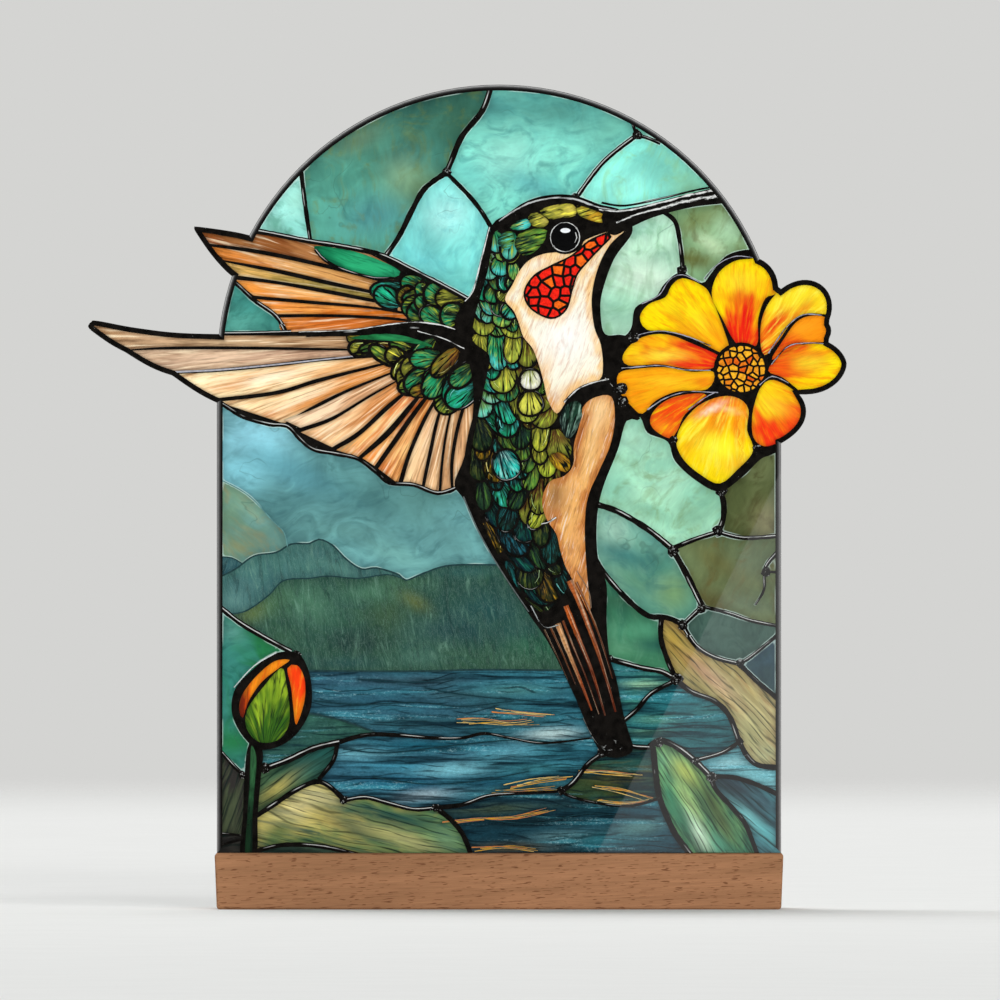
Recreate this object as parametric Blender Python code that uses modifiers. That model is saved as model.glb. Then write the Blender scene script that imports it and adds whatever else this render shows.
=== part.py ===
"""A printed acrylic plaque standing in a slotted wooden base.

The acrylic is one flat plate. Its outline is an arched window with a bird's two spread wings cut out
beyond it on the left and a flower cut out beyond it on the right. A tab under the plate stands in a
blind slot in the base, and the plate's two shoulders sit on the base's top.

Metres, +Z up. The origin is the centre of the base's underside, and the printed face looks along -Y.
"""

import math

import bmesh
import bpy
from mathutils import Vector
from mathutils.geometry import delaunay_2d_cdt

# The wooden base
BASE_LENGTH = 0.153
BASE_DEPTH = 0.040
BASE_HEIGHT = 0.015
BASE_END_DRAFT = 0.0006
BASE_EDGE_ROUND = 0.0008
BASE_EDGE_STEPS = 3

# The acrylic plate, with heights measured up from the top of the base
PLATE_THICKNESS = 0.003
ARCH_WIDTH = 0.152
ARCH_HEIGHT = 0.207
ARCH_STEPS = 64
TAB_WIDTH = 0.110
TAB_DEPTH = 0.009

# How the plate fits the base
SEAT_GAP = 0.0003
SLOT_SIDE_CLEARANCE = 0.0002
SLOT_END_CLEARANCE = 0.0005
SLOT_FLOOR_CLEARANCE = 0.0005

# The wings spread to the left from roots inside the arch. A wing's points are shares of its reach:
# first along the line from root to tip, then across it, upwards positive.
LOWER_WING_ROOT_X = -0.0078
LOWER_WING_ROOT_HEIGHT = 0.1409
LOWER_WING_REACH = 0.1029
LOWER_WING_RISE_DEG = 0.0
LOWER_WING_LEADING = [(0.10, 0.02), (0.30, 0.010), (0.47, -0.009), (0.73, -0.009), (0.87, 0.005)]
LOWER_WING_TIP = [(0.975, 0.024), (0.992, 0.021), (1.0, 0.010), (0.994, 0.0)]
LOWER_WING_FEATHER_ENDS = [
    (0.903, -0.058),
    (0.780, -0.119),
    (0.650, -0.196),
    (0.469, -0.254),
    (0.356, -0.319),
    (0.207, -0.398),
    (0.029, -0.419),
]

UPPER_WING_ROOT_X = -0.0092
UPPER_WING_ROOT_HEIGHT = 0.1463
UPPER_WING_REACH = 0.0762
UPPER_WING_RISE_DEG = 16.9
UPPER_WING_LEADING = [(0.09, 0.056), (0.31, 0.093), (0.52, 0.083), (0.71, 0.039), (0.854, 0.028)]
UPPER_WING_TIP = [(0.985, 0.008), (1.0, 0.0), (0.992, -0.012)]
UPPER_WING_FEATHER_ENDS = [(0.890, -0.090), (0.790, -0.135), (0.665, -0.200), (0.561, -0.252), (0.300, -0.200)]

FEATHER_BULGE = 0.07
FEATHER_STEPS = 8
SPLINE_STEPS = 6

# The flower's petals: the direction of each, its reach as a share of the flower's radius, the angle
# from its middle to where its side would meet the flower's centre, and how blunt its end is
FLOWER_INSET = 0.0108
FLOWER_HEIGHT = 0.1299
FLOWER_RADIUS = 0.0335
PETALS = [
    (137, 0.94, 34, 3.0),
    (89, 0.925, 34, 2.6),
    (45, 0.948, 30, 2.0),
    (27, 0.804, 20, 2.0),
    (4, 0.852, 34, 1.6),
    (-55, 0.667, 44, 3.0),
    (-104, 0.972, 36, 1.8),
    (-148, 0.885, 27, 3.0),
    (-172, 1.0, 30, 3.0),
    (169, 0.91, 24, 3.0),
]
FLOWER_STEPS = 180
FLOWER_HEART = 0.45

# How overlapping outlines are joined: triangles are kept inside any outline, points this near are one,
# and faces that turn less than this, in radians, are one
INSIDE_TRIANGLES = 1
MERGE_DISTANCE = 1e-7
FLAT_ANGLE = 0.002

ACRYLIC_COLOUR = (0.11, 0.36, 0.34, 1.0)
WOOD_COLOUR = (0.36, 0.19, 0.10, 1.0)


def clear_scene():
    for thing in list(bpy.data.objects):
        bpy.data.objects.remove(thing, do_unlink=True)


def collection_named(name):
    group = bpy.data.collections.new(name)
    bpy.context.scene.collection.children.link(group)
    return group


def material_named(name, colour, roughness, coat=0.0):
    material = bpy.data.materials.new(name)
    material.use_nodes = True
    shader = material.node_tree.nodes["Principled BSDF"]
    shader.inputs["Base Color"].default_value = colour
    shader.inputs["Roughness"].default_value = roughness
    shader.inputs["Metallic"].default_value = 0.0
    shader.inputs["Coat Weight"].default_value = coat
    return material


def spline_through(points, steps):
    """A smooth line through the points, which it passes with a tangent along their neighbours."""
    line = []
    last = len(points) - 1
    for i in range(last):
        before, start, end, after = (points[max(0, min(last, i + k))] for k in (-1, 0, 1, 2))
        for step in range(steps):
            t = step / steps
            line.append(
                tuple(
                    0.5
                    * (
                        2 * b
                        + (c - a) * t
                        + (2 * a - 5 * b + 4 * c - d) * t**2
                        + (3 * b - a - 3 * c + d) * t**3
                    )
                    for a, b, c, d in zip(before, start, end, after)
                )
            )
    line.append(tuple(points[last]))
    return line


def feather_edge(ends):
    """The scalloped edge that runs past the feathers' ends, bulging away from the wing between them."""
    line = []
    for (x0, y0), (x1, y1) in zip(ends, ends[1:]):
        run_x, run_y = x1 - x0, y1 - y0
        for step in range(FEATHER_STEPS):
            t = step / FEATHER_STEPS
            bulge = FEATHER_BULGE * math.sin(math.pi * t)
            line.append((x0 + run_x * t + run_y * bulge, y0 + run_y * t + run_x * bulge))
    line.append(ends[-1])
    return line


def wing_outline(root, reach, rise_deg, leading, tip, feather_ends):
    """One wing, from its root out along the leading edge, round the tip and back past the feathers."""
    shares = [(0.0, 0.0)]
    shares += spline_through(leading + tip, SPLINE_STEPS)[:-1]
    shares += feather_edge([tip[-1]] + feather_ends)
    rise = math.radians(rise_deg)
    along = (-math.cos(rise), math.sin(rise))
    across = (math.sin(rise), math.cos(rise))
    return [
        (
            root[0] + reach * (a * along[0] + c * across[0]),
            root[1] + reach * (a * along[1] + c * across[1]),
        )
        for a, c in shares
    ]


def petal_reach(direction_deg, petal):
    """How far a petal reaches in a direction, as a share of the flower's radius."""
    middle, reach, spread, bluntness = petal
    off = abs((direction_deg - middle + 180) % 360 - 180) / spread
    return reach * math.sqrt(1 - off**bluntness) if off < 1 else 0.0


def flower_outline(centre):
    """The outline that all the petals make together."""
    outline = []
    for step in range(FLOWER_STEPS):
        direction = 360 * step / FLOWER_STEPS
        reach = FLOWER_RADIUS * max([FLOWER_HEART] + [petal_reach(direction, p) for p in PETALS])
        angle = math.radians(direction)
        outline.append((centre[0] + reach * math.cos(angle), centre[1] + reach * math.sin(angle)))
    return outline


def arch_outline(seat):
    """The arched window with its tab. seat is the height of the shoulders."""
    half = ARCH_WIDTH / 2
    spring = seat - SEAT_GAP + ARCH_HEIGHT - half
    outline = [
        (-TAB_WIDTH / 2, seat - TAB_DEPTH),
        (TAB_WIDTH / 2, seat - TAB_DEPTH),
        (TAB_WIDTH / 2, seat),
        (half, seat),
    ]
    for step in range(ARCH_STEPS + 1):
        angle = math.pi * step / ARCH_STEPS
        outline.append((half * math.cos(angle), spring + half * math.sin(angle)))
    outline += [(-half, seat), (-TAB_WIDTH / 2, seat)]
    return outline


def flat_plate(name, outlines, group):
    """An upright plate of the acrylic's thickness, cut to what these overlapping outlines cover together."""
    corners = []
    loops = []
    for outline in outlines:
        loops.append(list(range(len(corners), len(corners) + len(outline))))
        corners += [Vector(point) for point in outline]
    points, _, faces, _, _, _ = delaunay_2d_cdt(corners, [], loops, INSIDE_TRIANGLES, MERGE_DISTANCE)
    sheet = bmesh.new()
    vertices = [sheet.verts.new((x, 0.0, z)) for x, z in points]
    for face in faces:
        sheet.faces.new([vertices[i] for i in face])
    bmesh.ops.dissolve_limit(sheet, angle_limit=FLAT_ANGLE, verts=sheet.verts, edges=sheet.edges)
    bmesh.ops.recalc_face_normals(sheet, faces=sheet.faces)
    mesh = bpy.data.meshes.new(name)
    sheet.to_mesh(mesh)
    sheet.free()
    plate = bpy.data.objects.new(name, mesh)
    group.objects.link(plate)
    thickness = plate.modifiers.new("sheet thickness", "SOLIDIFY")
    thickness.thickness = PLATE_THICKNESS
    thickness.offset = 0.0
    return plate


def box(name, size, centre, group):
    mesh = bpy.data.meshes.new(name)
    shape = bmesh.new()
    bmesh.ops.create_cube(shape, size=1.0)
    bmesh.ops.scale(shape, vec=size, verts=shape.verts)
    shape.to_mesh(mesh)
    shape.free()
    made = bpy.data.objects.new(name, mesh)
    made.location = centre
    group.objects.link(made)
    return made


def wooden_base(pieces, cutters):
    """The block, slightly narrower at its foot, with its edges rounded and the plate's slot cut into its top."""
    base = box("wooden_base", (BASE_LENGTH, BASE_DEPTH, BASE_HEIGHT), (0.0, 0.0, BASE_HEIGHT / 2), pieces)
    for vertex in base.data.vertices:
        if vertex.co.z < 0:
            vertex.co.x -= math.copysign(BASE_END_DRAFT, vertex.co.x)
    rounding = base.modifiers.new("rounded edges", "BEVEL")
    rounding.width = BASE_EDGE_ROUND
    rounding.segments = BASE_EDGE_STEPS
    rounding.limit_method = "ANGLE"
    slot_depth = TAB_DEPTH - SEAT_GAP + SLOT_FLOOR_CLEARANCE
    slot_height = 2 * slot_depth
    slot_size = (
        TAB_WIDTH + 2 * SLOT_END_CLEARANCE,
        PLATE_THICKNESS + 2 * SLOT_SIDE_CLEARANCE,
        slot_height,
    )
    slot = box("slot_cutter", slot_size, (0.0, 0.0, BASE_HEIGHT), cutters)
    slot.hide_render = True
    slot.display_type = "WIRE"
    cut = base.modifiers.new("slot", "BOOLEAN")
    cut.operation = "DIFFERENCE"
    cut.solver = "EXACT"
    cut.object = slot
    base.data.materials.append(material_named("oiled beech", WOOD_COLOUR, 0.55))


def acrylic_plate(pieces):
    """The arch, both wings and the flower, cut as one flat plate."""
    lower_wing = wing_outline(
        (LOWER_WING_ROOT_X, BASE_HEIGHT + LOWER_WING_ROOT_HEIGHT),
        LOWER_WING_REACH,
        LOWER_WING_RISE_DEG,
        LOWER_WING_LEADING,
        LOWER_WING_TIP,
        LOWER_WING_FEATHER_ENDS,
    )
    upper_wing = wing_outline(
        (UPPER_WING_ROOT_X, BASE_HEIGHT + UPPER_WING_ROOT_HEIGHT),
        UPPER_WING_REACH,
        UPPER_WING_RISE_DEG,
        UPPER_WING_LEADING,
        UPPER_WING_TIP,
        UPPER_WING_FEATHER_ENDS,
    )
    flower = flower_outline((ARCH_WIDTH / 2 - FLOWER_INSET, BASE_HEIGHT + FLOWER_HEIGHT))
    outlines = [arch_outline(BASE_HEIGHT + SEAT_GAP), lower_wing, upper_wing, flower]
    plate = flat_plate("acrylic_plate", outlines, pieces)
    plate.data.materials.append(material_named("printed acrylic", ACRYLIC_COLOUR, 0.08, coat=1.0))


def main():
    clear_scene()
    pieces = collection_named("arched_plaque")
    cutters = collection_named("cutters")
    wooden_base(pieces, cutters)
    acrylic_plate(pieces)


main()
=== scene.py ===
"""The looks of a printed acrylic plaque that stands in a beech base.

The picture is one flat film of ink on the front of the clear plate. It is drawn in layers, from the back
to the front, and then cut into triangles, each with the paint of the topmost layer, so nothing is raised
and nothing lies hidden. Drawn places are in millimetres: x from the middle of the base, and height above
its top.
"""

import math
import random

import bmesh
import bpy
import numpy as np
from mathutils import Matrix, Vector, kdtree
from mathutils.geometry import delaunay_2d_cdt

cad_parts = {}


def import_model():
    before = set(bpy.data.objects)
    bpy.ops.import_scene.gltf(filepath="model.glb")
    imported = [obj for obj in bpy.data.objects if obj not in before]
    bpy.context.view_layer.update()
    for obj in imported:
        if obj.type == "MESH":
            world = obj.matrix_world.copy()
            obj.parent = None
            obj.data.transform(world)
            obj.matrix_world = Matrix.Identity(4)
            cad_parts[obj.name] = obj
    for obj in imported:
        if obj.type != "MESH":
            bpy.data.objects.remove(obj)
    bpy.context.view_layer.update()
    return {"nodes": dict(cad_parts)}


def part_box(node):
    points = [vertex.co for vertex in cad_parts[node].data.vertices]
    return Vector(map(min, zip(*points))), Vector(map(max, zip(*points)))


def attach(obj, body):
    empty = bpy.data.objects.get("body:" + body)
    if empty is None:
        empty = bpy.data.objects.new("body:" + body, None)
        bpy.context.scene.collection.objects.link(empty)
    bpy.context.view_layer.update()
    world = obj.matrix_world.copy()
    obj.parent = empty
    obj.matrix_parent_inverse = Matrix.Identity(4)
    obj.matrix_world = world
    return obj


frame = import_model()

MM = 0.001
BASE_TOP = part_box("wooden_base")[1].z
PLATE_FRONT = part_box("acrylic_plate")[0].y
ACRYLIC_IOR = 1.49
INK_TOOTH = 0.02 * MM
WOOD_TOOTH = 0.08 * MM

# The film of ink: its edge, its lines and feathers, and its triangles
INK_GAP = 0.05 * MM
CLEAR_RIM = 0.12
FOOT_GAP = 0.03
BORDER = 1.45
CUT_OUT_BORDER = 1.3
ARCH_SPRING = 131.0
# Painted edge light: the width of each ring, and the greys from the plate's edge inwards, at the sides and
# round the arch
EDGE_LIGHT_STEP = 0.27
SIDE_EDGE_LIGHT = (0x888888, 0x646464, 0x444444, 0x262626)
ARCH_EDGE_LIGHT = (0xA0A0A0, 0x606060, 0x2C2C2C, 0x161616)
GROWN = 0.24
ARCH_HALF_WIDTH = 76.0
GRID = 1.0
SPLINE_STEP = 1.1
LINE_WOBBLE = 0.09
ROW_STEP = 0.62
GLINT_SHARE = 0.35
WHOLE_AREA = 0
FOOT_TOP = 1.0
EDGE_STEP = 0.4
SEED_STEP = 0.61803
SEED_SPREAD = 40
MERGE = 1e-4
LIGHT_FROM = (-0.5, 0.85)

# The camera and its far, level view
VIEW_WIDTH = 0.2694
VIEW_X = 0.00027
VIEW_HEIGHT = 0.1101
VIEW_DISTANCE = 10.0
LENS = 500.0

# Colours in hex, two digits each for red, green and blue, as seen under the studio light
LEAD = 0x110F0D
PALE = 0xE2E4E2
AMBER = 0xDE8434
RUST = 0xA05426
UMBER = 0x603A22
GOLD = 0xD6A028
YELLOW = 0xFFDE0A
LEMON = 0xFFF654
ORANGE = 0xFA8C0E
RED = 0xEE2818
EMERALD = 0x229664
LEAF_GREEN = 0x60963C
LIME = 0xB0C43C
OLIVE = 0x808434
DARK_GREEN = 0x1E3A2C
TURQUOISE = 0x4ED6CE
NIGHT = 0x162022
DARK_TEAL = 0x243E40
DEEP_BEECH = 0x986E4F
PALE_BEECH = 0xAB7C5A
BEECH_PORES = 0x623A26

layers = []
draw = random.Random(7)


def parts_of(colour):
    """The red, green and blue of a colour, each from 0 to 255."""
    return colour >> 16, colour >> 8 & 255, colour & 255


def between(first, second, share):
    """A colour on the way from the first one to the second."""
    pairs = zip(parts_of(first), parts_of(second))
    red, green, blue = (int((1 - share) * a + share * b) for a, b in pairs)
    return red << 16 | green << 8 | blue


def linear(colour):
    """A colour as a screen shows it, in the renderer's linear values."""
    shares = [c / 255 for c in parts_of(colour)]
    return tuple(c / 12.92 if c <= 0.04045 else ((c + 0.055) / 1.055) ** 2.4 for c in shares) + (1.0,)


def smooth_line(points, closed=False, step=SPLINE_STEP):
    """A smooth line through the points, with a new point about every step."""
    count = len(points)
    spans = count if closed else count - 1
    line = []
    for i in range(spans):
        if closed:
            before, start, end, after = (points[(i + k) % count] for k in (-1, 0, 1, 2))
        else:
            before, start, end, after = (points[max(0, min(count - 1, i + k))] for k in (-1, 0, 1, 2))
        pieces = max(1, round(math.dist(start, end) / step))
        for piece in range(pieces):
            t = piece / pieces
            place = []
            for a, b, c, d in zip(before, start, end, after):
                square = 2 * a - 5 * b + 4 * c - d
                cube = 3 * b - a - 3 * c + d
                place.append(0.5 * (2 * b + (c - a) * t + square * t**2 + cube * t**3))
            line.append(tuple(place))
    if not closed:
        line.append(tuple(points[-1]))
    return line


def layer(paint, faces, near, far=None, accent=None, grain=("straight", 0), within=None, cells=None):
    """One layer of paint, over all the layers before it. It returns the layer's number."""
    layers.append(
        {
            "paint": paint,
            "faces": faces,
            "near": near,
            "far": near if far is None else far,
            "accent": near if accent is None else accent,
            "grain": grain,
            "within": within,
            "cells": cells,
        }
    )
    return len(layers) - 1


def fill(paint, points, near, far=None, accent=None, grain=("straight", 0), within=None, smooth=True,
    grow=0.0):
    """A filled shape, made larger all round by grow."""
    outline = smooth_line(points, closed=True) if smooth else points
    if grow:
        area = sum(a[0] * b[1] - b[0] * a[1] for a, b in zip(outline, outline[1:] + outline[:1]))
        outline = inset(outline if area > 0 else outline[::-1], [-grow] * len(outline))
    return layer(paint, [outline], near, far, accent, grain, within)


def line(points, width, end_width=None, paint="lead", near=LEAD, shine=0.5, within=None, smooth=True):
    """A line of the drawing, from its first point to its last, its width easing to end_width."""
    middle = smooth_line(points) if smooth else points
    end_width = width if end_width is None else end_width
    last = len(middle) - 1
    sides = []
    halves = []
    for i, (x, h) in enumerate(middle):
        x0, h0 = middle[max(0, i - 1)]
        x1, h1 = middle[min(last, i + 1)]
        length = math.dist((x0, h0), (x1, h1)) or 1.0
        across = (-(h1 - h0) / length, (x1 - x0) / length)
        half = (width + (end_width - width) * i / last) / 2 * (1 + draw.uniform(-LINE_WOBBLE,
            LINE_WOBBLE))
        halves.append(half)
        sides.append([(x + s * half * across[0], h + s * half * across[1]) for s in (1, -1)])
    faces = [[a[0], b[0], b[1], a[1]] for a, b in zip(sides, sides[1:])]
    grain = ("line", middle, halves, shine)
    return layer(paint, faces, near, grain=grain, within=within)


def black(points, smooth=True):
    """A black shape under what is drawn next."""
    return fill("lead_shape", points, LEAD, smooth=smooth)


def gleam(points, width, end_width=None, near=PALE, within=None, smooth=True):
    """A thin pale line of light."""
    return line(points, width, end_width, paint="bright", near=near, within=within, smooth=smooth)


def hairline(points, width, end_width=None, near=DARK_TEAL):
    return line(points, width, end_width, paint="hairline", near=near)


def circle(x, h, radius, height=None, count=24):
    height = height or radius
    turns = [2 * math.pi * i / count for i in range(count)]
    return [(x + radius * math.cos(t), h + height * math.sin(t)) for t in turns]


def solder(x, h, radius=1.3):
    """A blob where lines meet."""
    points = [
        (x + radius * draw.uniform(0.75, 1.2) * math.cos(t),
         h + radius * draw.uniform(0.75, 1.2) * math.sin(t))
        for t in [2 * math.pi * i / 7 for i in range(7)]
    ]
    return fill("solder", points, LEAD)


def plate_outline():
    """The outline of the plate's front above the base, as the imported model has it. It runs from the lower
    right corner round over the top to the lower left one."""
    mesh = frame["nodes"]["acrylic_plate"].data
    edges = {}
    for face in mesh.polygons:
        if face.normal.y < -0.9:
            corners = [mesh.vertices[i].co for i in face.vertices]
            keys = [(round(c.x / MM, 3), round((c.z - BASE_TOP) / MM, 3)) for c in corners]
            for a, b in zip(keys, keys[1:] + keys[:1]):
                if (b, a) in edges:
                    del edges[(b, a)]
                else:
                    edges[(a, b)] = b
    follows = {a: b for a, b in edges}
    start = min(follows, key=lambda p: (-p[0] if abs(p[1]) < FOOT_TOP else math.inf))
    loop = [start]
    while follows[loop[-1]] != start:
        loop.append(follows[loop[-1]])
    loop = [p for p in loop if p[1] > -0.01]
    area = sum(a[0] * b[1] - b[0] * a[1] for a, b in zip(loop, loop[1:] + loop[:1]))
    if area < 0:
        loop = loop[:1] + loop[:0:-1]
    tab = [p for p in loop if p[1] < FOOT_TOP and abs(p[0]) < ARCH_HALF_WIDTH - 1]
    return [p for p in loop if p not in tab]


def inset(loop, depths):
    """The loop moved inwards, each point by its own depth."""
    count = len(loop)
    moved = []
    for i, (x, h) in enumerate(loop):
        ax, ah = loop[i - 1]
        bx, bh = loop[(i + 1) % count]
        first = Vector((x - ax, h - ah)).normalized()
        second = Vector((bx - x, bh - h)).normalized()
        inward = Vector((-(first + second).y, (first + second).x))
        if inward.length < 0.2:
            inward = Vector((-first.y, first.x))
        inward.normalize()
        bend = max(0.6, inward.dot(Vector((-first.y, first.x))))
        moved.append((x + inward.x * depths[i] / bend, h + inward.y * depths[i] / bend))
    return moved


def background(film):
    """The whole film, whose panes are what the lines leave between them."""
    # Each pane: a point in it, the direction of its streaks, and its colours
    panes = [
        ((-58, 174), -50, 0xA0E6DC, 0x8ED8CE, 0x60A692),
        ((-35, 180), 92, 0x58A492, 0x387266, 0x687C42),
        ((-18, 166), 70, 0x7ADCD4, 0x8EF0E8, 0x68C8C8),
        ((5, 188), 4, 0x84E0CE, 0x6AC4B8, 0x4A9692),
        ((40, 183), 68, 0x98FCEA, 0x8CEEDE, 0x96D8A6),
        ((39.3, 194.4), 68, 0x74BEAC, 0x60AA96, 0x508C78),
        ((36, 155), 84, 0xB0E0C4, 0xC6F0D4, 0x8CBE96),
        ((58, 167), 78, 0x88B284, 0x78A072, 0x585C28),
        ((-67, 146), 62, 0x54A496, 0x44948A, 0x32726A),
        ((-40, 95), 12, 0x568A8C, 0x6AA4A4, 0x447478),
        ((-70, 90), -38, 0x72987E, 0x68968E, 0x8E8E68),
        ((42, 104), 58, 0xACE8C6, 0x96D6B8, 0x82A678),
        ((69, 97), 60, 0x505A36, 0x626C46, 0x3E3C20),
        ((56, 77), 62, 0x68744C, 0x5E6E4A, 0x60542C),
        ((37, 80), -32, 0x78AE98, 0x589684, 0x3C7876),
        ((36, 57), 92, 0x428260, 0x306854, 0x5C9676),
        ((62, 58), 90, 0x3E5850, 0x48645A, 0x304A44),
        ((72, 52), 90, 0x3C5454, 0x324C58, 0x283E46),
        ((-73, 46), 8, 0x3C887C, 0x28784A, 0x226054),
    ]
    hills = [
        ((-73.5, 77.5), 80, 0x2C545E, 0x366066, 0x224650),
        ((-52, 79), 98, 0x3A6464, 0x42706A, 0x548282),
        ((-30, 62), 100, 0x325644, 0x284A42, 0x487058),
    ]
    water = [
        ((-30, 42), 1, 0x346274, 0x327080, 0x1C3C4C),
        ((-45, 33.6), 4, 0x2C544E, 0x38685A, 0x1C3838),
        ((38, 46), 2, 0x307078, 0x3C8278, 0x1E4650),
        ((50, 37), 2, 0x2C747A, 0x28646C, 0x183E46),
        ((50, 31), 2, 0x387C7E, 0x2E686E, 0x183C42),
        ((66, 22), 6, 0x54929C, 0x6EB0B8, 0x32646E),
        ((30, 22), 2, 0x32482E, 0x28504A, 0x5C5424),
        ((30, 8), 4, 0x183A46, 0x204C5A, 0x0C1A20),
    ]
    leaves = [
        ((-40, 8), -14, 0xC4B868, 0x628454, 0x1A4A4C),
        ((-58, 1.2), 0, 0x243632, 0x3C5042, 0x141C1C),
        ((-55, 21), 32, 0x466446, 0x28524A, 0x182E28),
        ((-72, 15), 70, 0x3A4032, 0x32302E, 0x505C42),
        ((-72, 4), 10, 0x2C2C2A, 0x383834, 0x1E1C1C),
        ((-72, 1), 10, 0x2C2C2A, 0x383834, 0x1E1C1C),
        ((60, 40), -45, 0xA8965A, 0xB0A676, 0x866440),
        ((52, 15), -58, 0x78B270, 0x3C8462, 0x183A30),
        ((66, 15), -38, 0x304852, 0x44808A, 0x12222C),
    ]
    cells = []
    for paint, group in (("glass", panes), ("hill", hills), ("water", water), ("leaf", leaves)):
        for place, angle, near, far, accent in group:
            cells.append((place, paint, near, far, accent, ("straight", angle)))
    return layer("glass", [film], 0x64AAA0, cells=cells)


def ridges_and_waves():
    """The thin lines of the hills, the sky and the water."""
    hairline([(-76, 79.8), (-72, 79.5), (-69, 77.8)], 0.35)
    ridge = [
        (-76, 74), (-71, 76.5), (-66, 80), (-60, 81), (-56, 83.2), (-51, 83.4), (-48.5, 84.5), (-45, 83),
        (-41, 79), (-37, 76.5), (-33, 76.8), (-27, 75), (-25, 73.5), (-20, 75.5), (-13, 77.5), (1, 77.6),
    ]
    hairline(ridge, 0.45)
    slope = [
        (-73, 64.3), (-68, 65.3), (-62, 69.5), (-58, 73.4), (-51, 74), (-46, 74.6), (-38, 74), (-30, 75),
        (-25, 73.5),
    ]
    hairline(slope, 0.4, 0.3)
    points = [(-76, 101), (-70, 98), (-66, 95), (-61, 89.5), (-58, 86.5), (-57, 82.6)]
    hairline(points, 0.3, near=0x5C8C8C)
    hairline([(-53, 49.2), (-40, 49), (-20, 49), (-5, 49.4), (17, 49.2)], 0.5)
    hairline([(-53, 38), (-46, 36.6), (-40, 35), (-33, 32.3)], 0.55, 0.5)
    for points in (
        [(-50, 41), (-38, 40), (-22, 40.6), (-10, 39.5), (4, 41)],
        [(-20, 44.5), (-12, 43), (-2, 41.8), (8, 41), (20, 40)],
        [(-38, 46.8), (-24, 46), (-12, 47)],
        [(-42, 28), (-30, 27), (-12, 29), (6, 30.5), (20, 29)],
        [(-34, 20.5), (-20, 18.6), (-6, 19.4), (8, 22)],
        [(34, 34), (42, 33.3), (52, 34.4), (63, 34)],
        [(-4, 9), (10, 8), (24, 10.6), (42, 9)],
    ):
        line(points, 0.35, 0.25, paint="ripple", near=0x18363E)


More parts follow.
